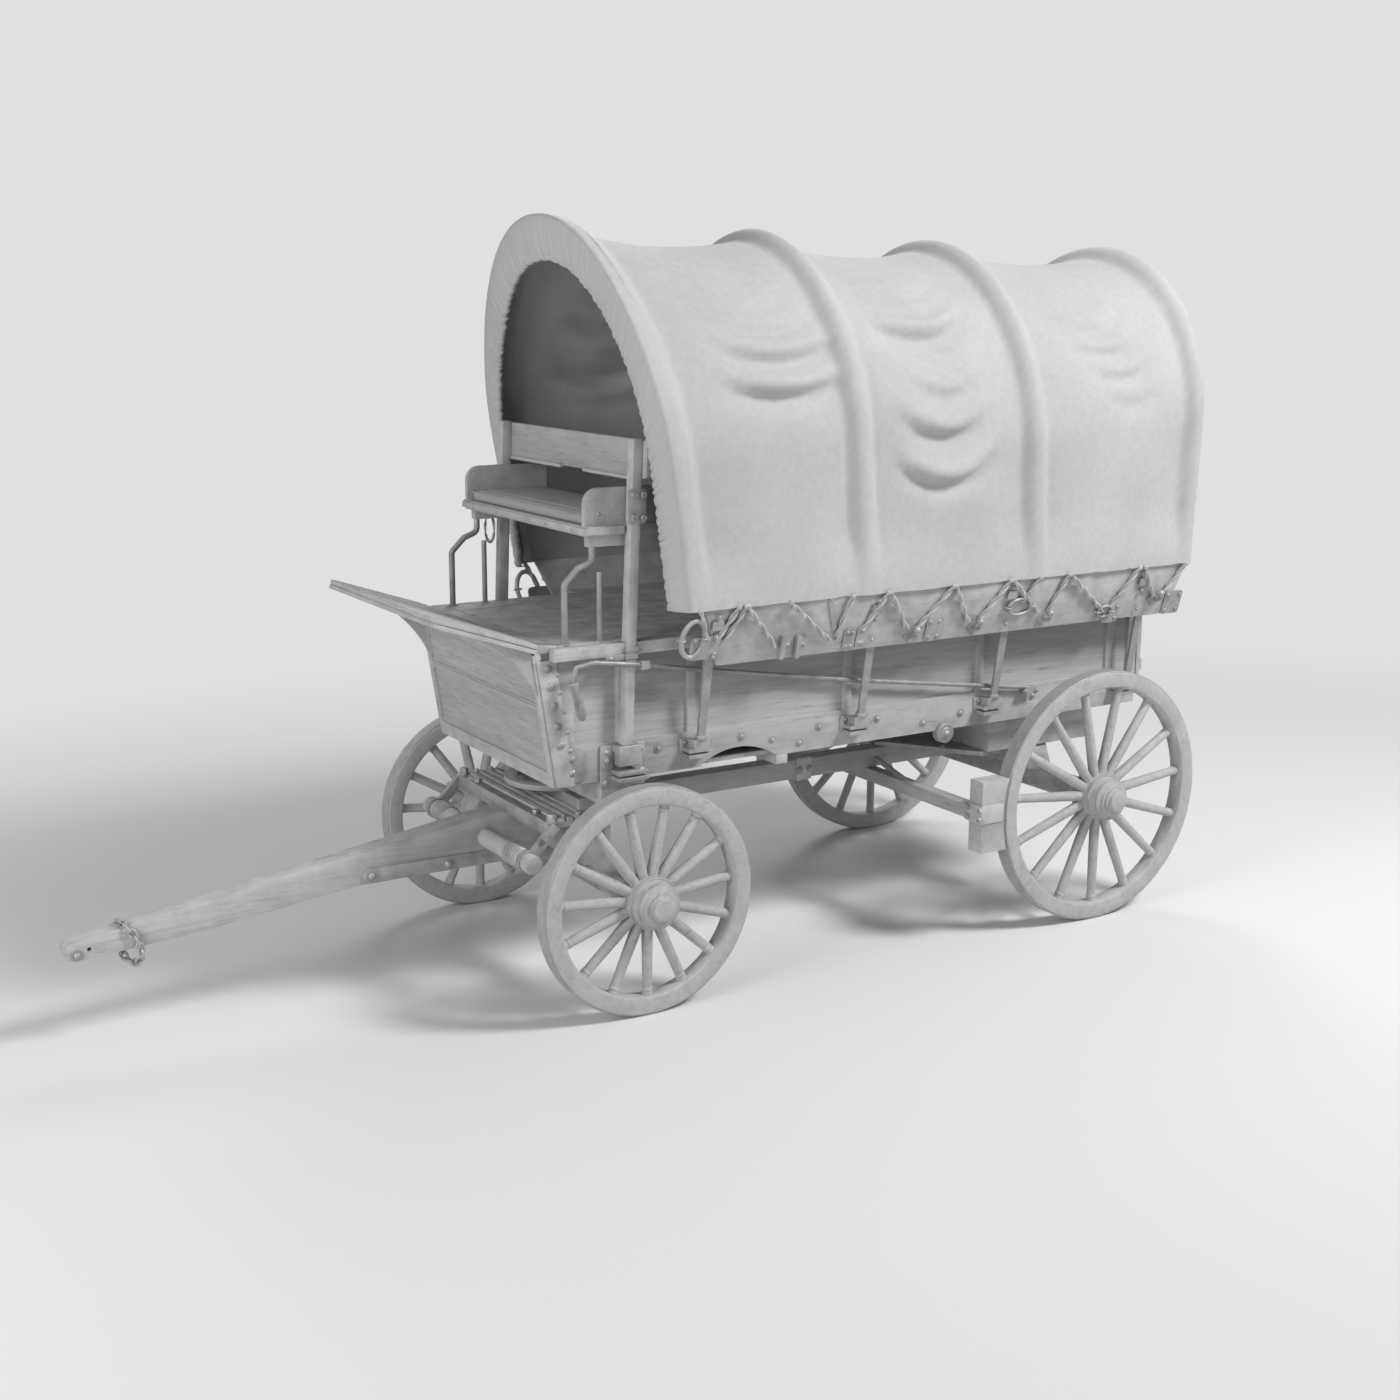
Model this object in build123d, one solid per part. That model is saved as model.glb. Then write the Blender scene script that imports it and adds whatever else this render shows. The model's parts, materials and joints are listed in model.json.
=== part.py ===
from build123d import *
from math import atan2, cos, degrees, hypot, radians, sin, tan
import os

# Covered wagon, near life size.
# Millimetres, +X to the tongue, +Y to the wagon's left, +Z up, ground at Z = 0.
# Stations along X are counted from the middle of the wheelbase and moved to the
# part's own origin, under the middle of its overall box, when a piece is saved.

# Sizes: wheels and track
WHEELBASE = 2556.0
FRONT_AXLE = WHEELBASE / 2
REAR_AXLE = -WHEELBASE / 2
FRONT_WHEEL_RADIUS = 512.0
REAR_WHEEL_RADIUS = 635.0
TYRE_WIDTH = 94.0
RIM_DEPTH = 82.0
RIM_BEVEL = 9.0
SPOKES = 15
SPOKE_ROOT_RADIUS = 26.0
SPOKE_TIP_RADIUS = 21.0
HUB_DRUM_RADIUS = 108.0
HUB_REACH_OUT = 162.0
HUB_REACH_IN = 118.0
AXLE_BEAM = 96.0
AXLE_ARM_RADIUS = 34.0
RUNNING_GAP = 0.4

# Sizes: how high the box stands over the front axle
TURN_RING_RADIUS = 235.0
TURN_RING_WIDTH = 60.0
TURN_RING_THICK = 12.0
TURN_GAP = 0.5
TURN_ABOVE_AXLE = 356.0
TURN_HEIGHT = FRONT_WHEEL_RADIUS + TURN_ABOVE_AXLE
FRONT_BOLSTER_WIDTH = 150.0
FRONT_BOLSTER_DEPTH = 109.5

# Sizes: box under the deck
BOX_HALF_WIDTH = 600.0
BOX_BOTTOM = TURN_HEIGHT + TURN_GAP + TURN_RING_THICK + FRONT_BOLSTER_DEPTH
BOX_FRONT_OVERHANG = 295.0
BOX_REAR_OVERHANG = 552.0
BOX_FRONT_FOOT = FRONT_AXLE + BOX_FRONT_OVERHANG
BOX_FRONT_RAKE = 92.0
BOX_REAR = REAR_AXLE - BOX_REAR_OVERHANG
SILL_DEPTH = 170.0
SILL_TOP = BOX_BOTTOM + SILL_DEPTH
SILL_THICK = 38.0
PANEL_THICK = 20.0
PANEL_RECESS = 14.0
BATTEN_WIDTH = 46.0
CORNER_IRON_WIDTH = 88.0
CORNER_IRON_THICK = 8.0
ARCH_SPAN = 415.0
ARCH_RISE = 66.0
FLOOR_THICK = 22.0
BEARER_WIDTH = 65.0
BEARER_DEPTH = 45.0
FRONT_THICK = 24.0
FRONT_FRAME_PROUD = 12.0
FRONT_RAIL_HEIGHT = 66.0
FRONT_STILE_WIDTH = 44.0
BEAD_HEIGHT = 340.0
BEAD_WIDTH = 34.0
FRONT_TRACK = 2 * (BOX_HALF_WIDTH + 267.0)
REAR_TRACK = 2 * (BOX_HALF_WIDTH + 330.0)

# Sizes: deck and toe board
DECK_ABOVE_SILL = 450.0
DECK_TOP = SILL_TOP + DECK_ABOVE_SILL
DECK_THICK = 25.0
PLANK_WIDTH = 0.285 * BOX_HALF_WIDTH
PLANK_GROOVE = 6.0
CROSS_BOARD = 106.0
RAIL_OVERHANG = 55.0
RAIL_OUT = BOX_HALF_WIDTH + RAIL_OVERHANG
RAIL_DEPTH = 57.0
RAIL_BOTTOM = DECK_TOP - RAIL_DEPTH
TOE_RUN = 470.0
TOE_RISE = 158.0
TOE_BOARD_THICK = 18.0
TOE_GROOVE = 5.0
TOE_CORNER = 60.0
TOE_BRACKET_DROP = 190.0
TOE_BRACKET_REACH = 300.0
TOE_BRACKET_THICK = 26.0

# Sizes: seat
POST_STANDOFF = 12.0
POST_IN = BOX_HALF_WIDTH + POST_STANDOFF
POST_SIZE = 50.0
POST_FOOT_STATION = FRONT_AXLE - 26.0
POST_LEAN = 55.0
POST_ABOVE_DECK = 865.0
POST_TOP = DECK_TOP + POST_ABOVE_DECK
POST_BOTTOM = SILL_TOP - 8.0
SOCKET_REAR = FRONT_AXLE - 138.0
SOCKET_FRONT = FRONT_AXLE + 84.0
SOCKET_BOTTOM = BOX_BOTTOM - 32.0
SOCKET_PLATE = 12.0
SEAT_FRONT = FRONT_AXLE + 147.0
SEAT_DEPTH = 420.0
SEAT_REAR = SEAT_FRONT - SEAT_DEPTH
SEAT_ABOVE_DECK = 457.0
SEAT_BOARD_BOTTOM = DECK_TOP + SEAT_ABOVE_DECK
SEAT_BOARD_THICK = 43.0
SEAT_LIP = 8.0
SEAT_EDGE_OUT = 22.0
SEAT_CLEAT_DEPTH = 47.0
SEAT_END_THICK = 24.0
SEAT_END_HEIGHT = 160.0
SEAT_END_CORNER = 68.0
CUSHION_THICK = 52.0
BACK_ABOVE_BOARD = 237.0
BACK_BOTTOM = SEAT_BOARD_BOTTOM + BACK_ABOVE_BOARD
BACK_HEIGHT = 163.0
BACK_THICK = 30.0
BACK_OVERHANG = 28.0
BACK_CORNER = 22.0
LONG_IRON_AHEAD = 91.0
LONG_IRON_STATION = SEAT_FRONT + LONG_IRON_AHEAD
LONG_IRON_RADIUS = 14.0
SHORT_IRON_STATION = SEAT_FRONT - 78.0
SHORT_IRON_RADIUS = 12.0
SHORT_IRON_HEIGHT = 302.0
IRON_INSET = 18.0
IRON_LINE = BOX_HALF_WIDTH - IRON_INSET

# Sizes: flared side boards, their irons and the end board
FLARE_STANDOFF = 148.0
FLARE_LEAN = 80.0
FLARE_BELOW_DECK = 130.0
FLARE_HEIGHT = 280.0
FLARE_FOOT_OUT = BOX_HALF_WIDTH + FLARE_STANDOFF
FLARE_TOP_OUT = FLARE_FOOT_OUT + FLARE_LEAN
FLARE_BOTTOM = DECK_TOP - FLARE_BELOW_DECK
FLARE_TOP = FLARE_BOTTOM + FLARE_HEIGHT
FLARE_THICK = 26.0
SIDE_SETBACK = 428.0
FLARE_FRONT_FOOT = FRONT_AXLE - SIDE_SETBACK
FLARE_FRONT_HEAD = FRONT_AXLE - 310.0
FLARE_REAR_FOOT = BOX_REAR - 40.0
FLARE_REAR_HEAD = BOX_REAR - 95.0
STRUT_WIDTH_FOOT = 36.0
STRUT_WIDTH_HEAD = 50.0
STRUT_THICK = 16.0
STRUT_STANDOFF = 48.0
STRUT_FOOT_OUT = BOX_HALF_WIDTH + STRUT_STANDOFF
BRACKET_WIDTH = 158.0
BRACKET_TOP = SILL_TOP - 26.0
BRACKET_HEIGHT = 72.0
BRACKET_PLATE = 9.0
BRACKET_BOLT = 26.0
END_BOARD_THICK = 26.0

# Places along the box, the first two counted from the front axle, the last two from the box's rear
STRUT_STATIONS = (FRONT_AXLE - 398.0, FRONT_AXLE - 1282.0, BOX_REAR + 1014.0, BOX_REAR + 114.0)
BATTEN_STATIONS = (FRONT_AXLE - 385.0, FRONT_AXLE - 1245.0, BOX_REAR + 1058.0, BOX_REAR + 190.0)
ARCH_FRONT = FRONT_AXLE - SIDE_SETBACK
BEARER_FRONT = ARCH_FRONT - ARCH_SPAN

# Sizes: bows and cover, each bow by its foot, crown and outline
BOWS = (
    # name, station it is counted from, foot and crown from there, swell past the foot,
    # crown above the boards over and above the half width, spring above the boards
    ("bow_front", FRONT_AXLE, -238.0, 60.0, 32.0, 810.0, 610.0),
    ("bow_second", FRONT_AXLE, -1186.0, -1053.0, 0.0, 770.0, 666.0),
    ("bow_third", BOX_REAR, 915.0, 1015.0, 14.0, 738.0, 630.0),
    ("bow_rear", BOX_REAR, -95.0, -155.0, 6.0, 724.0, 680.0),
)
COVER_THICK = 9.0
COVER_GAP = 0.3
COVER_OVERLAP = 18.0
COVER_HEM = FLARE_TOP - COVER_OVERLAP
COVER_STANDOFF = 14.0
COVER_FOOT_OUT = FLARE_TOP_OUT + COVER_STANDOFF
COVER_SAG_TOP = 96.0
COVER_SAG_SIDE = 26.0
BOW_DEPTH = 30.0
BOW_WIDTH = 40.0
MOUTH_BAND_TOP = 188.0
MOUTH_BAND_SIDE = 142.0
MOUTH_BAND_FOOT = 107.0
MOUTH_ROLL = 88.0

# Sizes: front gear
KINGPIN_RADIUS = 19.0
PLATFORM_BELOW_RING = 58.0
PLATFORM_TOP = TURN_HEIGHT - PLATFORM_BELOW_RING
PLATFORM_THICK = 40.0
PLATFORM_FRONT = FRONT_AXLE + 230.0
PLATFORM_REAR = FRONT_AXLE - 98.0
PLATFORM_HALF = 0.8 * BOX_HALF_WIDTH
SLAT_PITCH = 42.0
SLAT_GROOVE = 12.0
CROSSBAR_WIDTH = 48.0
CROSSBAR_DEPTH = 63.0
CROSSBAR_FRONT = PLATFORM_FRONT + CROSSBAR_WIDTH
CROSSBAR_TOP = PLATFORM_TOP - 10.0
CROSSBAR_BOTTOM = CROSSBAR_TOP - CROSSBAR_DEPTH
SPLINTER_STATION = CROSSBAR_FRONT + 111.0
SPLINTER_HEIGHT = FRONT_WHEEL_RADIUS + 134.0
SPLINTER_RADIUS = 42.0
ARM_LINE = PLATFORM_HALF + 20.0
ARM_WIDTH = 46.0
ARM_THICK = 26.0
SPLINTER_HALF = ARM_LINE + 65.0
TONGUE_LENGTH = 1945.0
TONGUE_REAR = CROSSBAR_FRONT + 44.0
TONGUE_TIP = TONGUE_REAR + TONGUE_LENGTH
TONGUE_HALF_REAR = 70.0
TONGUE_HALF_TIP = 47.0
TONGUE_DROP = 282.0
TONGUE_PIN_RADIUS = 9.0
TONGUE_PIN_BACK = 105.0

# Sizes: rear gear and brake
REACH_HALF = 48.0
REACH_ABOVE_AXLE = 95.0
REACH_DEPTH = 98.0
REACH_TOP = REAR_WHEEL_RADIUS + AXLE_BEAM / 2 + REACH_ABOVE_AXLE
REACH_BOTTOM = REACH_TOP - REACH_DEPTH
REACH_REAR = REAR_AXLE + 78.0
REACH_SETBACK = 95.0
REACH_FRONT = FRONT_AXLE - FRONT_BOLSTER_WIDTH / 2 - REACH_SETBACK
REACH_PLATE_BOTTOM = FRONT_WHEEL_RADIUS + 122.0
REACH_PLATE_THICK = 38.0
REACH_SLOT_HALF = 122.0
REACH_SLOT_GAP = 6.0
REACH_EYE_RADIUS = 46.0
REAR_BLOCK_LENGTH = 696.0
REAR_BLOCK_HALF = BOX_HALF_WIDTH - 100.0
HOUND_THICK = 24.0
REAR_BLOCK_BOTTOM = REACH_TOP + HOUND_THICK
REAR_BLOCK_SPLIT = REAR_BLOCK_BOTTOM + 0.52 * (BOX_BOTTOM - REAR_BLOCK_BOTTOM)
HOUND_STATION = REAR_AXLE + 478.0
BRAKE_SHOE_GAP = 9.0
BRAKE_STATION = REAR_AXLE + REAR_WHEEL_RADIUS + 93.0
BRAKE_HEIGHT = REAR_WHEEL_RADIUS + 5.0
BRAKE_BEAM = 66.0
BRAKE_BLOCK_FRONT = BRAKE_STATION + 52.0
BRAKE_BLOCK_LOW = BRAKE_HEIGHT - 178.0
BRAKE_BLOCK_HIGH = BRAKE_HEIGHT + 175.0
ROD_RADIUS = 11.0
ROD_LINE = BOX_HALF_WIDTH + 35.0
ROD_LINE_FRONT = POST_IN + POST_SIZE + 14.0

# Sizes: tailgate
GATE_GAP = 6.0
GATE_THICK = 28.0
GATE_BOTTOM = BOX_BOTTOM + 76.0
HINGE_RADIUS = 7.0
HINGE_KNUCKLE = 15.0
HINGE_WIDTH = 46.0
HINGE_LINES = (-380.0, 380.0)

# Worked out from the sizes above
RAKE_LENGTH = hypot(BOX_FRONT_RAKE, DECK_TOP - DECK_THICK - BOX_BOTTOM)
BOX_TOP = DECK_TOP - DECK_THICK
BOX_FRONT_HEAD = BOX_FRONT_FOOT + BOX_FRONT_RAKE
COVER_REAR = min(bow[1] + bow[3] for bow in BOWS) - COVER_THICK
MIDDLE = (TONGUE_TIP + COVER_REAR) / 2
os.makedirs("parts", exist_ok=True)


def save(name, shape):
    """Move a piece from the wheelbase's middle to the part's origin and write it."""
    export_step(Pos(-MIDDLE, 0, 0) * shape, "parts/" + name + ".step")


def box(x1, x2, y1, y2, z1, z2):
    """A block between two corners."""
    middle = Pos((x1 + x2) / 2, (y1 + y2) / 2, (z1 + z2) / 2)
    return middle * Box(abs(x2 - x1), abs(y2 - y1), abs(z2 - z1))


def side_plate(points, y1, y2):
    """A plate with an outline in X and Z, between two Y positions."""
    face = make_face(Polyline(*[(x, 0, z) for x, z in points], close=True))
    return Pos(0, y1, 0) * extrude(face, amount=y2 - y1, dir=(0, 1, 0))


def cross_plate(points, x1, x2):
    """A plate with an outline in Y and Z, between two X positions."""
    face = make_face(Polyline(*[(0, y, z) for y, z in points], close=True))
    return Pos(x1, 0, 0) * extrude(face, amount=x2 - x1, dir=(1, 0, 0))


def rod(start, end, radius):
    """A round bar between two points."""
    line = Vector(*end) - Vector(*start)
    plane = Plane(origin=start, z_dir=tuple(line))
    return plane * Cylinder(radius, line.length, align=(Align.CENTER, Align.CENTER, Align.MIN))


def pair(name, shape):
    """Save a left piece and its mirror image on the right."""
    save(name + "_left", shape)
    save(name + "_right", mirror(shape, about=Plane.XZ))


# Lower box: two raked sides with deep sills, recessed panels and battens
def rake_at(height):
    """Station of the box's front edge at a height."""
    return BOX_FRONT_FOOT + BOX_FRONT_RAKE * (height - BOX_BOTTOM) / (BOX_TOP - BOX_BOTTOM)


def raked_block(rear, front_back_by, low, high, y1, y2):
    """A side piece whose front end follows the box's rake."""
    outline = [
        (rear, low),
        (rake_at(low) - front_back_by, low),
        (rake_at(high) - front_back_by, high),
        (rear, high),
    ]
    return side_plate(outline, y1, y2)


wall_in = BOX_HALF_WIDTH - SILL_THICK
panel_out = BOX_HALF_WIDTH - PANEL_RECESS
sill = raked_block(BOX_REAR, FRONT_THICK, BOX_BOTTOM, SILL_TOP, wall_in, BOX_HALF_WIDTH)
panel = raked_block(
    BOX_REAR, FRONT_THICK, SILL_TOP, BOX_TOP, panel_out - PANEL_THICK, panel_out
)
side = sill + panel
for station in BATTEN_STATIONS:
    side += box(
        station - BATTEN_WIDTH / 2,
        station + BATTEN_WIDTH / 2,
        panel_out,
        BOX_HALF_WIDTH,
        SILL_TOP,
        RAIL_BOTTOM,
    )
post_pack = POST_FOOT_STATION - POST_LEAN * (SILL_TOP - POST_BOTTOM) / (POST_TOP - POST_BOTTOM)
side += box(
    post_pack - POST_SIZE / 2 - POST_LEAN / 3,
    post_pack + POST_SIZE / 2,
    panel_out,
    POST_IN,
    SILL_TOP,
    RAIL_BOTTOM,
)
side += box(BOX_REAR, BOX_REAR + 60, wall_in, BOX_HALF_WIDTH, SILL_TOP, BOX_TOP)
corner_iron = side_plate(
    [
        (rake_at(BOX_BOTTOM) - CORNER_IRON_WIDTH, BOX_BOTTOM),
        (rake_at(BOX_BOTTOM), BOX_BOTTOM),
        (rake_at(RAIL_BOTTOM), RAIL_BOTTOM),
        (rake_at(RAIL_BOTTOM) - CORNER_IRON_WIDTH, RAIL_BOTTOM),
    ],
    BOX_HALF_WIDTH,
    BOX_HALF_WIDTH + CORNER_IRON_THICK,
)
corner_block = raked_block(
    BOX_FRONT_FOOT - CORNER_IRON_WIDTH, FRONT_THICK, SILL_TOP, RAIL_BOTTOM, panel_out, BOX_HALF_WIDTH
)
arch_radius = (ARCH_SPAN**2 / 4 + ARCH_RISE**2) / (2 * ARCH_RISE)
arch = Pos(ARCH_FRONT - ARCH_SPAN / 2, BOX_HALF_WIDTH, BOX_BOTTOM + ARCH_RISE - arch_radius) * (
    Rot(90, 0, 0) * Cylinder(arch_radius, 4 * SILL_THICK)
)
side = side + corner_block + corner_iron - arch
pair("side", side)

floor = box(
    BOX_REAR,
    BOX_FRONT_FOOT - FRONT_THICK,
    -wall_in,
    wall_in,
    BOX_BOTTOM,
    BOX_BOTTOM + FLOOR_THICK,
)
floor += box(BOX_REAR, BOX_REAR + 45, -wall_in, wall_in, BOX_BOTTOM, GATE_BOTTOM - GATE_GAP)
floor += box(
    BEARER_FRONT - BEARER_WIDTH,
    BEARER_FRONT,
    -BOX_HALF_WIDTH,
    BOX_HALF_WIDTH,
    BOX_BOTTOM - BEARER_DEPTH,
    BOX_BOTTOM,
)
save("box_floor", floor)

# Front panel: a raked board with a raised frame and a bead across
front_plane = Plane(
    origin=(BOX_FRONT_FOOT, 0, BOX_BOTTOM),
    x_dir=(0, 1, 0),
    z_dir=(cos(atan2(BOX_FRONT_RAKE, BOX_TOP - BOX_BOTTOM)), 0, -BOX_FRONT_RAKE / RAKE_LENGTH),
)
rake_thick = FRONT_THICK * cos(atan2(BOX_FRONT_RAKE, BOX_TOP - BOX_BOTTOM))


def on_front(width, low, high, out, middle=0.0):
    """A strip on the raked front, standing out from its outer face."""
    strip = Rectangle(width, high - low)
    return front_plane * Pos(middle, (low + high) / 2, 0) * extrude(strip, amount=out)


front = side_plate(
    [
        (rake_at(BOX_BOTTOM) - FRONT_THICK, BOX_BOTTOM),
        (rake_at(BOX_BOTTOM), BOX_BOTTOM),
        (rake_at(BOX_TOP), BOX_TOP),
        (rake_at(BOX_TOP) - FRONT_THICK, BOX_TOP),
    ],
    -BOX_HALF_WIDTH,
    BOX_HALF_WIDTH,
)
full = 2 * BOX_HALF_WIDTH
front += on_front(full, 2, FRONT_RAIL_HEIGHT, FRONT_FRAME_PROUD)
front += on_front(full, RAKE_LENGTH - 60, RAKE_LENGTH - 3, FRONT_FRAME_PROUD)
front += on_front(full - 2 * FRONT_STILE_WIDTH, BEAD_HEIGHT, BEAD_HEIGHT + BEAD_WIDTH, FRONT_FRAME_PROUD / 2)
front += on_front(full - 2 * FRONT_STILE_WIDTH, BEAD_HEIGHT + 11, BEAD_HEIGHT + 23, FRONT_FRAME_PROUD)
for hand in (-1, 1):
    front += on_front(
        FRONT_STILE_WIDTH,
        2,
        RAKE_LENGTH - 3,
        FRONT_FRAME_PROUD,
        hand * (BOX_HALF_WIDTH - FRONT_STILE_WIDTH / 2),
    )
save("front_panel", front)

# Deck: lengthwise planks, a cross board, edge rails and ledges out to the flared boards
flare_slope = (FLARE_TOP_OUT - FLARE_FOOT_OUT) / (FLARE_TOP - FLARE_BOTTOM)
flare_angle = atan2(FLARE_TOP_OUT - FLARE_FOOT_OUT, FLARE_TOP - FLARE_BOTTOM)
flare_across = FLARE_THICK / cos(flare_angle)


def flare_out(height):
    """Outer face of the flared board at a height."""
    return FLARE_FOOT_OUT + flare_slope * (height - FLARE_BOTTOM)


def post_station(height):
    """Middle of the leaning post at a height."""
    return POST_FOOT_STATION - POST_LEAN * (height - POST_BOTTOM) / (POST_TOP - POST_BOTTOM)


deck = box(BOX_REAR, BOX_FRONT_HEAD, -BOX_HALF_WIDTH, BOX_HALF_WIDTH, BOX_TOP, DECK_TOP)
for hand in (-1, 1):
    deck += box(BOX_REAR, BOX_FRONT_HEAD - 65, hand * BOX_HALF_WIDTH, hand * RAIL_OUT, RAIL_BOTTOM, DECK_TOP - 4)
    deck += cross_plate(
        [
            (hand * RAIL_OUT, BOX_TOP),
            (hand * (flare_out(BOX_TOP) - flare_across), BOX_TOP),
            (hand * (flare_out(DECK_TOP - 4) - flare_across), DECK_TOP - 4),
            (hand * RAIL_OUT, DECK_TOP - 4),
        ],
        FLARE_REAR_FOOT + 40,
        FLARE_FRONT_FOOT - 30,
    )
seam = -BOX_HALF_WIDTH + PLANK_WIDTH
while seam < BOX_HALF_WIDTH - PLANK_WIDTH / 2:
    deck -= box(
        BOX_REAR - 10,
        BOX_FRONT_HEAD - CROSS_BOARD,
        seam - PLANK_GROOVE / 2,
        seam + PLANK_GROOVE / 2,
        DECK_TOP - 5,
        DECK_TOP + 5,
    )
    seam += PLANK_WIDTH
deck -= box(
    BOX_FRONT_HEAD - CROSS_BOARD - PLANK_GROOVE,
    BOX_FRONT_HEAD - CROSS_BOARD,
    -BOX_HALF_WIDTH,
    BOX_HALF_WIDTH,
    DECK_TOP - 5,
    DECK_TOP + 5,
)


def post_bar(low, high, y1, y2):
    """A stretch of the leaning post."""
    half = POST_SIZE / 2
    outline = [
        (post_station(low) - half, low),
        (post_station(low) + half, low),
        (post_station(high) + half, high),
        (post_station(high) - half, high),
    ]
    return side_plate(outline, y1, y2)


notch = post_bar(RAIL_BOTTOM - 20, DECK_TOP + 20, POST_IN, POST_IN + POST_SIZE)
deck = deck - notch - mirror(notch, about=Plane.XZ)
save("deck", deck)

# Toe board: two boards on a slope ahead of the deck, on curved brackets
toe_angle = atan2(TOE_RISE, TOE_RUN)
toe_length = hypot(TOE_RUN, TOE_RISE)
toe_plane = Plane(
    origin=(BOX_FRONT_HEAD, 0, BOX_TOP + 2),
    x_dir=(cos(toe_angle), 0, sin(toe_angle)),
    z_dir=(-sin(toe_angle), 0, cos(toe_angle)),
)


def toe_layer(inset, low, high):
    """One board of the sloping toe board, with rounded front corners."""
    outline = Pos(toe_length / 2, 0) * Rectangle(toe_length - 2 * inset, full + 40 - 2 * inset)
    board = extrude(outline, amount=high - low)
    corners = board.edges().filter_by(Axis.Z).group_by(Axis.X)[-1]
    return toe_plane * Pos(0, 0, low) * fillet(corners, TOE_CORNER)


toe = toe_layer(0, 0, TOE_BOARD_THICK)
toe += toe_layer(4, TOE_BOARD_THICK, TOE_BOARD_THICK + TOE_GROOVE)
toe += toe_layer(0, TOE_BOARD_THICK + TOE_GROOVE, 2 * TOE_BOARD_THICK + TOE_GROOVE)
toe -= box(BOX_FRONT_HEAD - 200, BOX_FRONT_HEAD, -full, full, BOX_BOTTOM, DECK_TOP + full)
bracket_foot = BOX_TOP - TOE_BRACKET_DROP
bracket_tip_x = BOX_FRONT_HEAD + TOE_BRACKET_REACH
bracket_tip_z = BOX_TOP + 2 + TOE_BRACKET_REACH * tan(toe_angle)
frame_out = FRONT_FRAME_PROUD / cos(atan2(BOX_FRONT_RAKE, BOX_TOP - BOX_BOTTOM))
with BuildSketch(Plane.XZ) as bracket_face:
    with BuildLine():
        a = (rake_at(BOX_TOP) + frame_out, BOX_TOP + 2 + frame_out * tan(toe_angle))
        b = (bracket_tip_x, bracket_tip_z)
        c = (rake_at(bracket_foot) + frame_out, bracket_foot)
        Line(a, b)
        ThreePointArc(b, (BOX_FRONT_HEAD + 0.34 * TOE_BRACKET_REACH, BOX_TOP - 0.12 * TOE_BRACKET_DROP), c)
        Line(c, a)
    make_face()
bracket = Pos(0, BOX_HALF_WIDTH - 8, 0) * extrude(bracket_face.sketch, amount=TOE_BRACKET_THICK)
bracket = bracket - front
toe = toe + bracket + mirror(bracket, about=Plane.XZ)
save("toe_board", toe)

# Seat: leaning posts, board with end panels, cushion, back rail and bent irons
post = post_bar(POST_BOTTOM, POST_TOP, POST_IN, POST_IN + POST_SIZE)
pair("seat_post", post)

seat_half = POST_IN
seat_board_top = SEAT_BOARD_BOTTOM + SEAT_BOARD_THICK
seat = box(SEAT_REAR, SEAT_FRONT, -seat_half, seat_half, SEAT_BOARD_BOTTOM, seat_board_top)
seat_edge = seat_half + SEAT_EDGE_OUT
post_clear = post_station(SEAT_BOARD_BOTTOM) + POST_SIZE / 2 + 10
seat += box(post_clear, SEAT_FRONT, -seat_edge, seat_edge, SEAT_BOARD_BOTTOM + 8, seat_board_top)
seat += box(
    SEAT_FRONT, SEAT_FRONT + SEAT_LIP, -seat_edge, seat_edge, SEAT_BOARD_BOTTOM + 8, seat_board_top - 8
)
for hand in (-1, 1):
    out = hand * (seat_half - SEAT_LIP)
    inn = hand * (seat_half - SEAT_LIP - SEAT_END_THICK)
    end = box(SEAT_REAR, SEAT_FRONT + 4, inn, out, seat_board_top, seat_board_top + SEAT_END_HEIGHT)
    corner = end.edges().filter_by(Axis.Y).group_by(Axis.X)[-1].group_by(Axis.Z)[-1]
    seat += fillet(corner, SEAT_END_CORNER)
    seat += box(
        SEAT_REAR,
        SEAT_FRONT - 22,
        hand * (seat_half - 60),
        hand * (seat_half - 18),
        SEAT_BOARD_BOTTOM - SEAT_CLEAT_DEPTH,
        SEAT_BOARD_BOTTOM,
    )
save("seat_board", seat)

cushion = box(
    SEAT_REAR + 10,
    SEAT_FRONT - 2,
    -(seat_half - SEAT_LIP - SEAT_END_THICK - 1),
    seat_half - SEAT_LIP - SEAT_END_THICK - 1,
    seat_board_top,
    seat_board_top + CUSHION_THICK,
)
nose = cushion.edges().filter_by(Axis.Y).group_by(Axis.X)[-1]
cushion = fillet(nose, 0.45 * CUSHION_THICK)
save("seat_cushion", cushion)

back_half = POST_IN + POST_SIZE + BACK_OVERHANG
half_post = POST_SIZE / 2
back_points = [
    (post_station(BACK_BOTTOM) - half_post - BACK_THICK, BACK_BOTTOM),
    (post_station(BACK_BOTTOM) - half_post, BACK_BOTTOM),
    (post_station(BACK_BOTTOM + BACK_HEIGHT) - half_post, BACK_BOTTOM + BACK_HEIGHT),
    (post_station(BACK_BOTTOM + BACK_HEIGHT) - half_post - BACK_THICK, BACK_BOTTOM + BACK_HEIGHT),
]
back = side_plate(back_points, -back_half, back_half)
back_ends = back.edges().filter_by(lambda edge: abs(edge.length - BACK_THICK) < 0.5)
back = fillet(back_ends, BACK_CORNER)
for y1, y2 in ((-0.95 * POST_IN, -0.11 * POST_IN), (0.25 * POST_IN, 0.96 * POST_IN)):
    front_face = post_station(BACK_BOTTOM) - half_post
    back += box(front_face - 12, front_face + 20, y1, y2, BACK_BOTTOM - 8, BACK_BOTTOM + 8)
save("seat_back", back)

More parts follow.
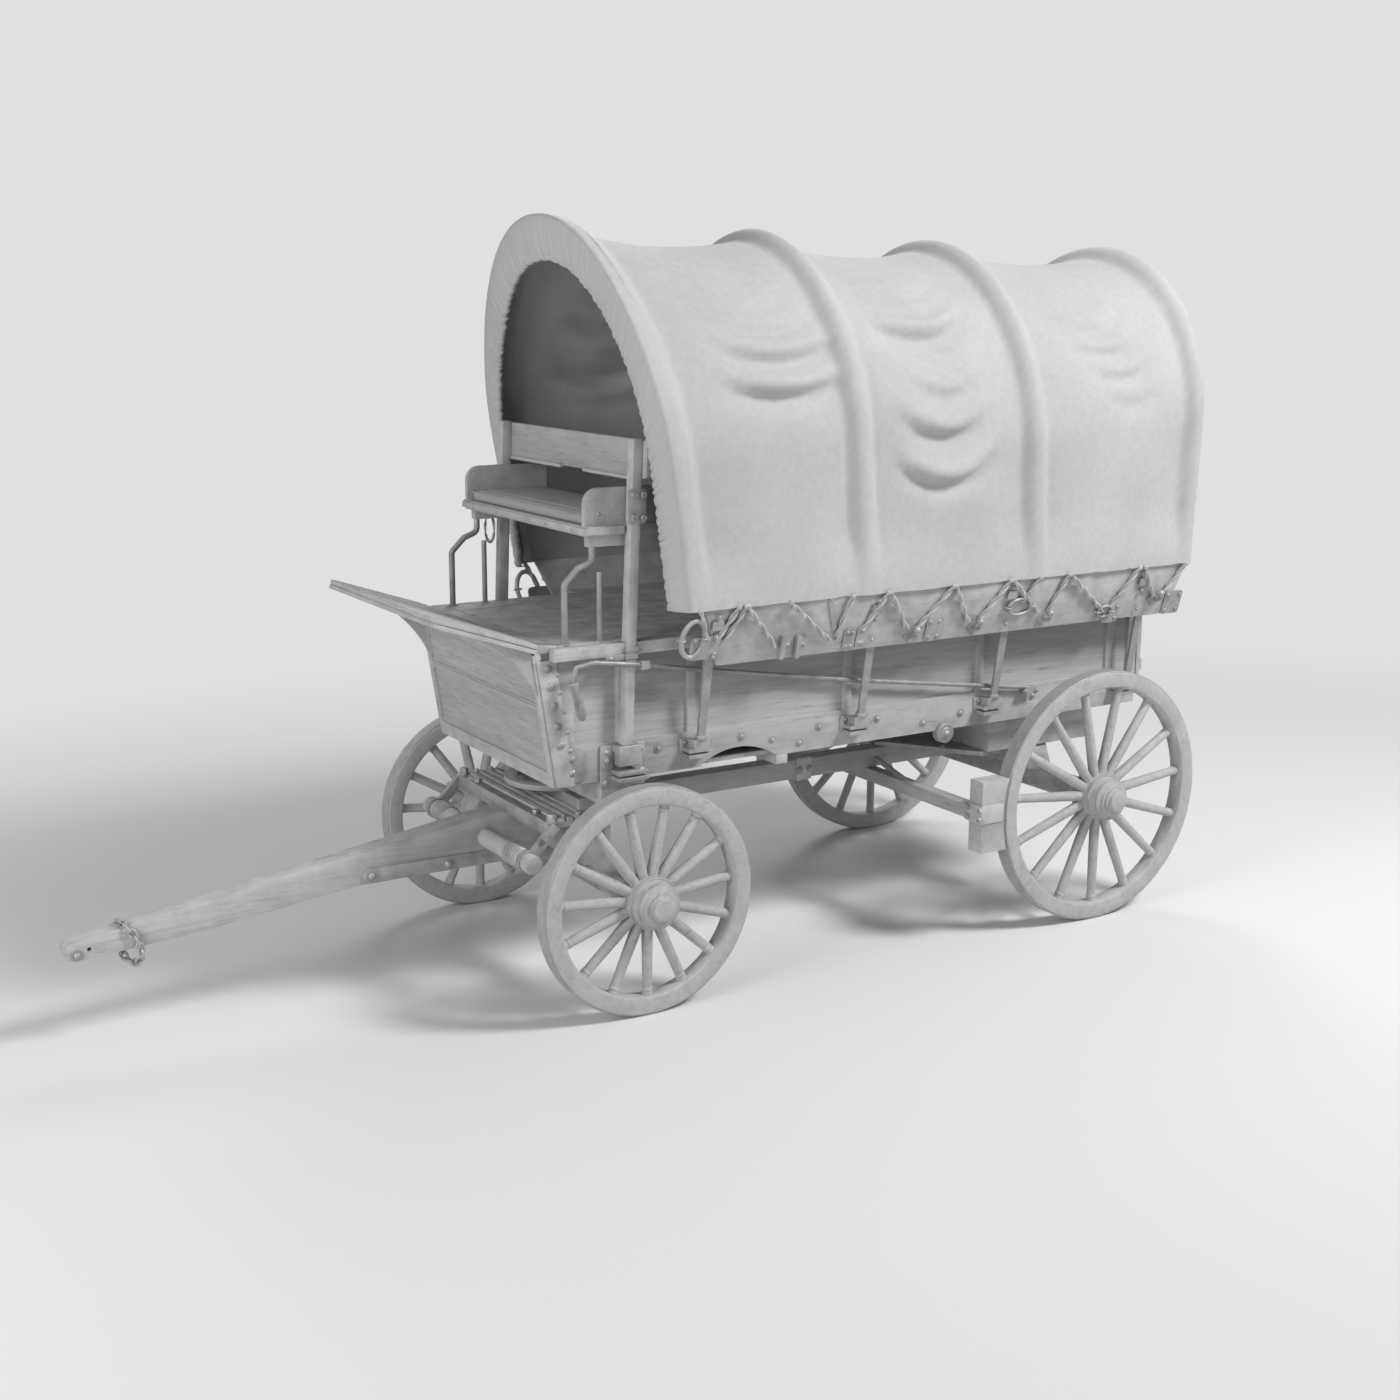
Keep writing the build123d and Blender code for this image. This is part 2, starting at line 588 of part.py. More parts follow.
iron_head = SEAT_FRONT - 43
iron_path = FilletPolyline(
    (LONG_IRON_STATION, IRON_LINE, DECK_TOP),
    (LONG_IRON_STATION, IRON_LINE, SEAT_BOARD_BOTTOM - 199),
    (LONG_IRON_STATION - 66, IRON_LINE, SEAT_BOARD_BOTTOM - 135),
    (iron_head, IRON_LINE, SEAT_BOARD_BOTTOM - 109),
    (iron_head, IRON_LINE, SEAT_BOARD_BOTTOM - SEAT_CLEAT_DEPTH),
    radius=32,
)
long_iron = sweep(Plane(iron_path @ 0, z_dir=iron_path % 0) * Circle(LONG_IRON_RADIUS), path=iron_path)
long_iron += Pos(LONG_IRON_STATION, IRON_LINE, DECK_TOP + 3) * Cylinder(LONG_IRON_RADIUS + 10, 6)
short_iron = rod(
    (SHORT_IRON_STATION, IRON_LINE, DECK_TOP), (SHORT_IRON_STATION, IRON_LINE, DECK_TOP + SHORT_IRON_HEIGHT), SHORT_IRON_RADIUS
)
short_iron += Pos(SHORT_IRON_STATION, IRON_LINE, DECK_TOP + 3) * Cylinder(SHORT_IRON_RADIUS + 9, 6)
pair("seat_irons", Compound(long_iron.solids() + short_iron.solids()))

# Flared side boards, the irons that carry them and the board across the rear
flare = cross_plate(
    [
        (FLARE_FOOT_OUT, FLARE_BOTTOM),
        (FLARE_TOP_OUT, FLARE_TOP),
        (FLARE_TOP_OUT - flare_across, FLARE_TOP),
        (FLARE_FOOT_OUT - flare_across, FLARE_BOTTOM),
    ],
    FLARE_REAR_HEAD,
    FLARE_FRONT_HEAD,
)
flare = flare & side_plate(
    [
        (FLARE_REAR_FOOT, FLARE_BOTTOM),
        (FLARE_FRONT_FOOT, FLARE_BOTTOM),
        (FLARE_FRONT_HEAD, FLARE_TOP),
        (FLARE_REAR_HEAD, FLARE_TOP),
    ],
    FLARE_FOOT_OUT - 2 * FLARE_THICK,
    FLARE_TOP_OUT + FLARE_THICK,
)
pair("flare_board", flare)

irons = []
for station in STRUT_STATIONS:
    body = cross_plate(
        [
            (STRUT_FOOT_OUT, BRACKET_TOP),
            (STRUT_FOOT_OUT + STRUT_THICK, BRACKET_TOP),
            (FLARE_FOOT_OUT - flare_across, FLARE_BOTTOM),
            (flare_out(BOX_TOP) - flare_across, BOX_TOP),
            (flare_out(BOX_TOP) - flare_across - STRUT_THICK, BOX_TOP),
            (FLARE_FOOT_OUT - flare_across - STRUT_THICK, FLARE_BOTTOM),
        ],
        station - STRUT_WIDTH_HEAD / 2,
        station + STRUT_WIDTH_HEAD / 2,
    )
    taper = side_plate(
        [
            (station - STRUT_WIDTH_FOOT / 2, BRACKET_TOP),
            (station + STRUT_WIDTH_FOOT / 2, BRACKET_TOP),
            (station + STRUT_WIDTH_HEAD / 2, BOX_TOP),
            (station - STRUT_WIDTH_HEAD / 2, BOX_TOP),
        ],
        STRUT_FOOT_OUT - 5,
        FLARE_TOP_OUT,
    )
    iron = body & taper
    low = BRACKET_TOP - BRACKET_HEIGHT
    iron += box(
        station - BRACKET_WIDTH / 2,
        station + BRACKET_WIDTH / 2,
        BOX_HALF_WIDTH,
        BOX_HALF_WIDTH + BRACKET_PLATE,
        low,
        BRACKET_TOP,
    )
    iron += box(
        station - 0.25 * BRACKET_WIDTH,
        station + 0.28 * BRACKET_WIDTH,
        BOX_HALF_WIDTH,
        STRUT_FOOT_OUT + 1.5 * STRUT_THICK,
        low + 0.25 * BRACKET_HEIGHT,
        BRACKET_TOP,
    )
    iron += Pos(station, STRUT_FOOT_OUT + STRUT_THICK / 2, BRACKET_TOP + STRUT_THICK / 2) * (
        Cylinder(0.7 * STRUT_WIDTH_FOOT, STRUT_THICK)
    )
    iron += Pos(station - BRACKET_WIDTH / 3, BOX_HALF_WIDTH + STRUT_STANDOFF / 2, low + 0.47 * BRACKET_HEIGHT) * (
        Box(2 * BRACKET_BOLT, 1.3 * BRACKET_BOLT, BRACKET_BOLT)
    )
    irons.append(iron)
pair("side_irons", Compound([iron.solid() for iron in irons]))

end_top = FLARE_TOP - 4
end_points = []
for hand, height in ((1, DECK_TOP), (1, end_top), (-1, end_top), (-1, DECK_TOP)):
    end_points.append((hand * (flare_out(height) - flare_across), height))
end_board = cross_plate(end_points, FLARE_REAR_FOOT + 50, FLARE_REAR_FOOT + 50 + END_BOARD_THICK)
save("end_board", end_board)


# Bows: leaning hoops of bent wood, each a basket arch on straight legs
def arch_points(half, spring, crown, side_radius_factor=1.19):
    """Where the side arcs meet the crown arc, and points on each, in Y and Z."""
    rise = crown - spring
    side_radius = side_radius_factor * max(half, rise) - (side_radius_factor - 1) * 0.45 * min(half, rise)
    crown_radius = (2 * half * side_radius - half**2 - rise**2) / (2 * (side_radius - rise))
    centre_y = half - side_radius
    centre_z = rise - crown_radius
    turn = atan2(centre_z, -centre_y)
    join = (centre_y + side_radius * cos(turn), spring + side_radius * sin(turn))
    mid = (centre_y + side_radius * cos(turn / 2), spring + side_radius * sin(turn / 2))
    return join, mid


def bow_wire(foot_x, crown_x, half_foot, half, spring, crown, foot, inset):
    """Closed band in a bow's leaning plane. The inset is one width, or widths at crown, side and foot."""
    top_in, side_in, foot_in = inset if isinstance(inset, tuple) else (inset, inset, inset)
    lean = (crown_x - foot_x) / (crown - FLARE_TOP)

    def at(y, z):
        return (foot_x + lean * (z - FLARE_TOP), y, z)

    def run(top_by, side_by, foot_by):
        h = half - side_by
        c = crown - top_by
        hf = half_foot - foot_by
        sp = spring - (top_by - side_by)
        join, mid = arch_points(h, sp, c)
        return [
            Line(at(hf, foot), at(h, sp)),
            ThreePointArc(at(h, sp), at(*mid), at(*join)),
            ThreePointArc(at(*join), at(0, c), at(-join[0], join[1])),
            ThreePointArc(at(-join[0], join[1]), at(-mid[0], mid[1]), at(-h, sp)),
            Line(at(-h, sp), at(-hf, foot)),
        ]

    outer = run(0, 0, 0)
    inner = run(top_in, side_in, foot_in)
    ends = [
        Line(at(half_foot, foot), at(half_foot - foot_in, foot)),
        Line(at(-half_foot, foot), at(-half_foot + foot_in, foot)),
    ]
    return Wire(outer + inner + ends)


cover_step = COVER_THICK + COVER_GAP
bows = []
for name, origin, foot, crown, swell, crown_over, spring_up in BOWS:
    crown_up = COVER_FOOT_OUT + crown_over
    half = COVER_FOOT_OUT + swell
    bows.append((name, origin + foot, origin + crown, half, FLARE_TOP + crown_up, FLARE_TOP + spring_up))
edge_shift = {bow[0]: (BOW_WIDTH / 2 + 2, -BOW_WIDTH / 2 - 2) for bow in bows}
edge_shift[bows[0][0]] = (0, -MOUTH_ROLL)
edge_shift[bows[-1][0]] = (MOUTH_ROLL / 2, 0)
above_boards = box(-3000, 3000, -1500, 1500, FLARE_TOP, 4000)
for name, foot_x, crown_x, half, crown, spring in bows:
    shift = sum(edge_shift[name]) / 2
    wire = bow_wire(
        foot_x + shift,
        crown_x + shift,
        COVER_FOOT_OUT - cover_step,
        half - cover_step,
        spring,
        crown - cover_step,
        FLARE_TOP - 20,
        BOW_DEPTH,
    )
    hoop = Pos(-BOW_WIDTH / 2, 0, 0) * extrude(Face(wire), amount=BOW_WIDTH, dir=(1, 0, 0))
    save(name, hoop & above_boards)

# Cover: one closed skin lofted from bow to bow, sagging between them, with a band round each mouth


def skin_ring(foot_x, crown_x, half, crown, spring, inset=COVER_THICK):
    """The cover's section in a leaning plane."""
    return bow_wire(foot_x, crown_x, COVER_FOOT_OUT, half, spring, crown, COVER_HEM, inset)


cover = None
for name, foot_x, crown_x, half, crown, spring in bows:
    ahead, behind = edge_shift[name]
    strip = Solid.make_loft(
        [
            skin_ring(foot_x + ahead, crown_x + ahead, half, crown, spring),
            skin_ring(foot_x + behind, crown_x + behind, half, crown, spring),
        ],
        ruled=True,
    )
    cover = strip if cover is None else cover + strip
for first, second in zip(bows[:-1], bows[1:]):
    start = edge_shift[first[0]][1]
    stop = edge_shift[second[0]][0]
    middle = skin_ring(
        (first[1] + start + second[1] + stop) / 2,
        (first[2] + start + second[2] + stop) / 2,
        (first[3] + second[3]) / 2 - COVER_SAG_SIDE,
        (first[4] + second[4]) / 2 - COVER_SAG_TOP,
        (first[5] + second[5]) / 2,
    )
    cover += Solid.make_loft(
        [
            skin_ring(first[1] + start, first[2] + start, *first[3:]),
            middle,
            skin_ring(second[1] + stop, second[2] + stop, *second[3:]),
        ],
        ruled=False,
    )
mouth_inset = (MOUTH_BAND_TOP, MOUTH_BAND_SIDE, MOUTH_BAND_FOOT)
for bow, hand in ((bows[0], 1), (bows[-1], -1)):
    band_face = Face(skin_ring(*bow[1:], mouth_inset))
    cover += extrude(band_face, amount=COVER_THICK, dir=(hand, 0, 0))
save("cover", cover)

# Wheels: bevelled rim, tapered spokes and a stepped turned hub
HUB_STEPS = (
    # distance outward from the rim's middle, radius
    (-HUB_REACH_IN, 74.0),
    (-HUB_REACH_IN + 16, 80.0),
    (-72.0, 84.0),
    (-58.0, HUB_DRUM_RADIUS),
    (50.0, HUB_DRUM_RADIUS + 4),
    (60.0, HUB_DRUM_RADIUS + 4),
    (64.0, HUB_DRUM_RADIUS - 3),
    (108.0, HUB_DRUM_RADIUS - 8),
    (114.0, 78.0),
    (126.0, 76.0),
    (130.0, 62.0),
    (140.0, 61.0),
    (143.0, 52.0),
    (HUB_REACH_OUT - 4, 51.0),
    (HUB_REACH_OUT, 46.0),
)
HUB_BLIND = 100.0


def wheel(radius):
    """Rim and hub with spokes, standing in the XZ plane, outer side at +Y."""
    half = TYRE_WIDTH / 2
    inner = radius - RIM_DEPTH
    section = Polyline(
        (inner + 6, 0, -half + 4),
        (radius - RIM_BEVEL, 0, -half),
        (radius, 0, -half + RIM_BEVEL),
        (radius, 0, half - RIM_BEVEL),
        (radius - RIM_BEVEL, 0, half),
        (inner + 6, 0, half - 4),
        (inner, 0, half - 12),
        (inner, 0, -half + 12),
        close=True,
    )
    rim = Rot(-90, 0, 0) * revolve(make_face(section), Axis.Z)
    outline = [(0, 0, HUB_STEPS[0][0])]
    for along, size in HUB_STEPS:
        outline.append((size, 0, along))
    outline.append((0, 0, HUB_REACH_OUT))
    hub = revolve(make_face(Polyline(*outline, close=True)), Axis.Z)
    bore = Pos(0, 0, -HUB_REACH_IN) * Cylinder(
        AXLE_ARM_RADIUS + RUNNING_GAP,
        HUB_REACH_IN + HUB_BLIND,
        align=(Align.CENTER, Align.CENTER, Align.MIN),
    )
    start = HUB_DRUM_RADIUS - 14
    length = inner - start
    spoke = Pos(start, 0, 0) * Rot(0, 90, 0) * Cone(
        SPOKE_ROOT_RADIUS, SPOKE_TIP_RADIUS, length, align=(Align.CENTER, Align.CENTER, Align.MIN)
    )
    parts = hub
    for turn in range(SPOKES):
        parts += Rot(0, 0, turn * 360.0 / SPOKES + 90) * spoke
    spider = Rot(-90, 0, 0) * (parts - bore)
    return rim, spider & (Rot(-90, 0, 0) * Cylinder(inner, 4 * TYRE_WIDTH))


for name, radius, station, track in (
    ("front", FRONT_WHEEL_RADIUS, FRONT_AXLE, FRONT_TRACK),
    ("rear", REAR_WHEEL_RADIUS, REAR_AXLE, REAR_TRACK),
):
    rim, spider = wheel(radius)
    place = Pos(station, track / 2, radius)
    pair("rim_" + name, place * rim)
    pair("spokes_" + name, place * spider)

# Front gear: axle, turning ring, slatted platform, crossbar, splinter bar and tongue
arm_in = FRONT_TRACK / 2 - HUB_REACH_IN
arm_end = FRONT_TRACK / 2 + HUB_BLIND - 6


def axle(station, height, beam_half, arm_start, arm_stop):
    """Beam with a round arm and a collar at each end."""
    half = AXLE_BEAM / 2
    shape = box(station - half, station + half, -beam_half, beam_half, height - half, height + half)
    for hand in (-1, 1):
        shape += rod((station, hand * (beam_half - 10), height), (station, hand * arm_stop, height), AXLE_ARM_RADIUS)
        shape += rod(
            (station, hand * beam_half, height), (station, hand * (arm_start - 3), height), AXLE_ARM_RADIUS + 20
        )
    return shape


front_axle = axle(FRONT_AXLE, FRONT_WHEEL_RADIUS, arm_in - 20, arm_in, arm_end)
gear_top = TURN_HEIGHT - TURN_RING_THICK
half_bolster = FRONT_BOLSTER_WIDTH / 2
beam_top = FRONT_WHEEL_RADIUS + AXLE_BEAM / 2
pad_low = PLATFORM_HALF - 50
pad_high = PLATFORM_HALF - 100
front_axle += cross_plate(
    [(-pad_low, beam_top), (pad_low, beam_top), (pad_high, gear_top), (-pad_high, gear_top)],
    FRONT_AXLE - half_bolster,
    FRONT_AXLE + half_bolster,
)
pin_hole = Pos(FRONT_AXLE, 0, gear_top) * Cylinder(KINGPIN_RADIUS + RUNNING_GAP, TURN_HEIGHT)
reach_slot = box(
    FRONT_AXLE - half_bolster,
    FRONT_AXLE + half_bolster,
    -REACH_SLOT_HALF,
    REACH_SLOT_HALF,
    REACH_PLATE_BOTTOM - REACH_SLOT_GAP,
    REACH_PLATE_BOTTOM + REACH_PLATE_THICK + REACH_SLOT_GAP,
)
front_axle = front_axle - pin_hole - reach_slot
ring = Pos(FRONT_AXLE, 0, gear_top + TURN_RING_THICK / 2) * (
    Cylinder(TURN_RING_RADIUS, TURN_RING_THICK) - Cylinder(TURN_RING_RADIUS - TURN_RING_WIDTH, TURN_RING_THICK)
)
save("front_axle", front_axle + ring)

platform = box(
    PLATFORM_REAR,
    PLATFORM_FRONT,
    -PLATFORM_HALF,
    PLATFORM_HALF,
    PLATFORM_TOP - PLATFORM_THICK,
    PLATFORM_TOP,
)
slat = PLATFORM_FRONT - SLAT_PITCH
while slat > PLATFORM_REAR + SLAT_PITCH / 2:
    platform -= box(
        slat - SLAT_GROOVE / 2, slat + SLAT_GROOVE / 2, -PLATFORM_HALF, PLATFORM_HALF, PLATFORM_TOP - 14, PLATFORM_TOP
    )
    slat -= SLAT_PITCH
platform -= box(
    FRONT_AXLE - half_bolster,
    FRONT_AXLE + half_bolster,
    -pad_low - 2,
    pad_low + 2,
    PLATFORM_TOP - PLATFORM_THICK - 10,
    PLATFORM_TOP + 10,
)
save("gear_platform", platform)

hound_top = PLATFORM_TOP - PLATFORM_THICK
crossbar = box(PLATFORM_FRONT, CROSSBAR_FRONT, -PLATFORM_HALF, PLATFORM_HALF, CROSSBAR_BOTTOM, CROSSBAR_TOP)
for hand in (-1, 1):
    crossbar += box(
        FRONT_AXLE + half_bolster,
        PLATFORM_FRONT,
        hand * (TONGUE_HALF_REAR + 130),
        hand * (TONGUE_HALF_REAR + 200),
        CROSSBAR_BOTTOM - 20,
        hound_top,
    )
    start = Vector(SPLINTER_STATION, hand * ARM_LINE, SPLINTER_HEIGHT)
    stop = Vector(CROSSBAR_FRONT - 20, hand * (ARM_LINE - 32), CROSSBAR_TOP - 22)
    along = atan2(stop.Z - start.Z, start.X - stop.X)
    reach = hypot(stop.Z - start.Z, start.X - stop.X)
    arm = Pos((start.X + stop.X) / 2, hand * (ARM_LINE - 5), (start.Z + stop.Z) / 2) * (
        Rot(0, degrees(along), 0) * Box(reach + 30, ARM_THICK, ARM_WIDTH)
    )
    crossbar += arm
    clasp = Pos(start.X, start.Y - hand * 5, start.Z) * Rot(90, 0, 0) * Cylinder(SPLINTER_RADIUS + 9, ARM_THICK)
    crossbar += clasp
    crossbar += Pos(CROSSBAR_FRONT - 24, hand * (PLATFORM_HALF - 18), CROSSBAR_TOP + 5) * Cylinder(20, 10)
bar_hole = Pos(SPLINTER_STATION, 0, SPLINTER_HEIGHT) * Rot(90, 0, 0) * (
    Cylinder(SPLINTER_RADIUS + 0.3, 3 * SPLINTER_HALF)
)

splinter = Pos(SPLINTER_STATION, 0, SPLINTER_HEIGHT) * Rot(90, 0, 0) * Cylinder(SPLINTER_RADIUS, 2 * SPLINTER_HALF)
save("splinter_bar", splinter)

tongue_top = SPLINTER_HEIGHT + 2.6 * SPLINTER_RADIUS
tongue_low = SPLINTER_HEIGHT - 3 * SPLINTER_RADIUS
tongue_end = tongue_top - TONGUE_DROP - 34
tongue_side = side_plate(
    [
        (FRONT_AXLE + half_bolster, tongue_top - 66),
        (TONGUE_REAR, tongue_top),
        (TONGUE_TIP - 45, tongue_end + 34),
        (TONGUE_TIP - 12, tongue_end + 22),
        (TONGUE_TIP, tongue_end),
        (TONGUE_TIP - 10, tongue_end - 28),
        (TONGUE_TIP - 45, tongue_end - 46),
        (TONGUE_TIP - 0.285 * TONGUE_LENGTH, tongue_end - 10),
        (TONGUE_TIP - 0.655 * TONGUE_LENGTH, tongue_low - 2),
        (TONGUE_REAR, tongue_low),
        (FRONT_AXLE + half_bolster, tongue_low + 71),
    ],
    -100,
    100,
)
tongue_plan = make_face(
    Polyline(
        (FRONT_AXLE, TONGUE_HALF_REAR),
        (TONGUE_REAR, TONGUE_HALF_REAR),
        (TONGUE_TIP - 22, TONGUE_HALF_TIP),
        (TONGUE_TIP, TONGUE_HALF_TIP - 18),
        (TONGUE_TIP, -TONGUE_HALF_TIP + 18),
        (TONGUE_TIP - 22, -TONGUE_HALF_TIP),
        (TONGUE_REAR, -TONGUE_HALF_REAR),
        (FRONT_AXLE, -TONGUE_HALF_REAR),
        close=True,
    )
)
tongue = tongue_side & extrude(tongue_plan, amount=2 * BOX_BOTTOM, dir=(0, 0, 1))
tongue -= Pos(TONGUE_TIP - TONGUE_PIN_BACK, 0, tongue_end - 2) * Rot(90, 0, 0) * (
    Cylinder(TONGUE_PIN_RADIUS, 6 * TONGUE_HALF_REAR)
)
save("tongue", tongue - bar_hole)
save("front_hounds", crossbar - bar_hole - tongue)

# Fixed gear under the box: front bolster with the king pin, reach and rear blocks
bolster_bottom = TURN_HEIGHT + TURN_GAP + TURN_RING_THICK
front_bolster = box(
    FRONT_AXLE - half_bolster,
    FRONT_AXLE + half_bolster,
    -BOX_HALF_WIDTH,
    BOX_HALF_WIDTH,
    bolster_bottom,
    BOX_BOTTOM,
)
upper_ring = Pos(FRONT_AXLE, 0, bolster_bottom - TURN_RING_THICK / 2) * (
    Cylinder(TURN_RING_RADIUS, TURN_RING_THICK) - Cylinder(TURN_RING_RADIUS - TURN_RING_WIDTH, TURN_RING_THICK)
)
front_bolster += upper_ring
front_bolster += rod(
    (FRONT_AXLE, 0, REACH_PLATE_BOTTOM - 20), (FRONT_AXLE, 0, bolster_bottom + 10), KINGPIN_RADIUS
)
front_bolster += Pos(FRONT_AXLE, 0, bolster_bottom - TURN_RING_THICK / 2) * Box(
    FRONT_BOLSTER_WIDTH - 20, 2 * (TURN_RING_RADIUS - TURN_RING_WIDTH) - 6, TURN_RING_THICK
)
save("front_bolster", front_bolster)

socket = box(
    SOCKET_REAR, SOCKET_FRONT, BOX_HALF_WIDTH, BOX_HALF_WIDTH + SOCKET_PLATE, SOCKET_BOTTOM, POST_BOTTOM
)
socket += box(
    POST_FOOT_STATION - 62,
    POST_FOOT_STATION + 46,
    BOX_HALF_WIDTH,
    POST_IN + POST_SIZE + 8,
    POST_BOTTOM - 90,
    POST_BOTTOM,
)
pair("post_socket", socket)

reach = box(REACH_REAR, REACH_FRONT, -REACH_HALF, REACH_HALF, REACH_BOTTOM, REACH_TOP)
plate_top = REACH_PLATE_BOTTOM + REACH_PLATE_THICK
reach += side_plate(
    [
        (REACH_FRONT - 160, REACH_BOTTOM),
        (REACH_FRONT - 60, REACH_PLATE_BOTTOM),
        (FRONT_AXLE, REACH_PLATE_BOTTOM),
        (FRONT_AXLE, plate_top),
        (REACH_FRONT + 12, plate_top),
        (REACH_FRONT, REACH_BOTTOM + 20),
    ],
    -REACH_HALF + 10,
    REACH_HALF - 10,
)
reach += Pos(FRONT_AXLE, 0, plate_top - REACH_PLATE_THICK / 2) * Cylinder(REACH_EYE_RADIUS, REACH_PLATE_THICK)
reach -= Pos(FRONT_AXLE, 0, plate_top) * Cylinder(KINGPIN_RADIUS + RUNNING_GAP, 4 * REACH_PLATE_THICK)
sleeve = box(-150, -60, -REACH_HALF - 9, REACH_HALF + 9, REACH_BOTTOM - 9, REACH_TOP + 9)
reach += sleeve
save("reach", reach)

block_front = REAR_AXLE + REAR_BLOCK_LENGTH / 2
block_rear = REAR_AXLE - REAR_BLOCK_LENGTH / 2
rear_block = box(
    block_rear, block_front, -REAR_BLOCK_HALF, REAR_BLOCK_HALF, REAR_BLOCK_SPLIT + 6, BOX_BOTTOM
)
rear_block += box(
    block_rear + 10,
    block_front - 10,
    -REAR_BLOCK_HALF + 10,
    REAR_BLOCK_HALF - 10,
    REAR_BLOCK_BOTTOM,
    REAR_BLOCK_SPLIT + 6,
)
save("rear_bolster", rear_block)

rear_arm_in = REAR_TRACK / 2 - HUB_REACH_IN
rear_arm_end = REAR_TRACK / 2 + HUB_BLIND - 6
rear_axle = axle(REAR_AXLE, REAR_WHEEL_RADIUS, rear_arm_in - 20, rear_arm_in, rear_arm_end)
rear_beam_top = REAR_WHEEL_RADIUS + AXLE_BEAM / 2
rear_axle += cross_plate(
    [
        (-REAR_BLOCK_HALF - 20, rear_beam_top),
        (REAR_BLOCK_HALF + 20, rear_beam_top),
        (REAR_BLOCK_HALF - 30, REAR_BLOCK_BOTTOM),
        (-REAR_BLOCK_HALF + 30, REAR_BLOCK_BOTTOM),
    ],
    REAR_AXLE - 70,
    REACH_REAR,
)
save("rear_axle", rear_axle)


# Rear hounds, brake beam with shoes that follow the wheels, and the brake rod
hounds = box(HOUND_STATION, REACH_REAR, -REACH_HALF - 30, REACH_HALF + 30, REACH_TOP, REAR_BLOCK_BOTTOM)
for hand in (-1, 1):
    plate = make_face(
        Polyline(
            (BRAKE_STATION - 30, hand * 12, REACH_TOP),
            (BRAKE_STATION - 90, hand * 62, REACH_TOP),
            (HOUND_STATION - 120, hand * (REAR_BLOCK_HALF - 30), REACH_TOP),
            (HOUND_STATION - 240, hand * (REAR_BLOCK_HALF - 30), REACH_TOP),
            (HOUND_STATION - 240, hand * 12, REACH_TOP),
            close=True,
        )
    )
    hounds += extrude(plate, amount=REAR_BLOCK_BOTTOM - REACH_TOP, dir=(0, 0, 1))
save("rear_hounds", hounds)

half_beam = BRAKE_BEAM / 2
brake_out = REAR_TRACK / 2 + TYRE_WIDTH / 2
beam_end = REAR_TRACK / 2 - TYRE_WIDTH / 2 + 10
brake = box(
    BRAKE_STATION - half_beam,
    BRAKE_STATION + half_beam,
    -beam_end,
    beam_end,
    BRAKE_HEIGHT - half_beam,
    BRAKE_HEIGHT + half_beam,
)
wheel_path = Pos(REAR_AXLE, 0, REAR_WHEEL_RADIUS) * Rot(90, 0, 0) * (
    Cylinder(REAR_WHEEL_RADIUS + BRAKE_SHOE_GAP, 2.2 * REAR_TRACK)
)
for hand in (-1, 1):
    shoe = box(
        BRAKE_STATION - 130,
        BRAKE_BLOCK_FRONT,
        hand * (REAR_TRACK / 2 - TYRE_WIDTH / 2),
        hand * brake_out,
        BRAKE_BLOCK_LOW,
        BRAKE_BLOCK_HIGH,
    )
    brake += shoe - wheel_path
    brake += box(
        BRAKE_STATION - 75,
        BRAKE_BLOCK_FRONT + 9,
        hand * (REAR_TRACK / 2 - TYRE_WIDTH / 2 - 6),
        hand * (brake_out + 6),
        BRAKE_HEIGHT - 30,
        BRAKE_HEIGHT + 60,
    )
    brake += rod(
        (BRAKE_STATION - 20, hand * 40, REACH_BOTTOM + 40), (BRAKE_STATION, hand * 440, BRAKE_HEIGHT), ROD_RADIUS + 3
    )
brake -= box(BRAKE_STATION - 60, BRAKE_STATION + 60, -REACH_HALF, REACH_HALF, REACH_BOTTOM, REACH_TOP)
save("brake_beam", brake)

ROD_POINTS = (
    # ahead of the front axle, outward, above the deck's underside
    (207.0, ROD_LINE_FRONT, -273.0),
    (247.0, ROD_LINE_FRONT, -120.0),
    (234.0, ROD_LINE_FRONT, -59.0),
    (147.0, ROD_LINE_FRONT, -46.0),
    (-98.0, ROD_LINE_FRONT, -79.0),
    (-351.0, ROD_LINE, -130.0),
    (-1227.0, ROD_LINE, -273.0),
    (-2021.0, ROD_LINE - 7, -388.0),
    (-2348.0, ROD_LINE - 7, -433.0),
)
rod_points = [(FRONT_AXLE + along, out, BOX_TOP + up) for along, out, up in ROD_POINTS]
rod_clip_high = rod_points[4]
rod_clip_low = rod_points[-1]
brake_rod = rod(rod_points[0], rod_points[1], ROD_RADIUS + 8)
for start, stop in zip(rod_points[1:-1], rod_points[2:]):
    brake_rod += rod(start, stop, ROD_RADIUS)
for point in rod_points[1:-1]:
    brake_rod += Pos(*point) * Sphere(ROD_RADIUS)
brake_rod += Pos(*rod_points[0]) * Sphere(ROD_RADIUS + 8)
brake_rod += box(
    rod_clip_high[0] - 20,
    rod_clip_high[0] + 20,
    POST_IN + POST_SIZE,
    ROD_LINE_FRONT + ROD_RADIUS + 6,
    rod_clip_high[2] - 18,
    rod_clip_high[2] + 20,
)
brake_rod += box(
    rod_clip_low[0] - 30,
    rod_clip_low[0] + 30,
    BOX_HALF_WIDTH,
    ROD_LINE + ROD_RADIUS,
    SILL_TOP - 40,
    SILL_TOP - 2,
)
save("brake_rod", brake_rod)

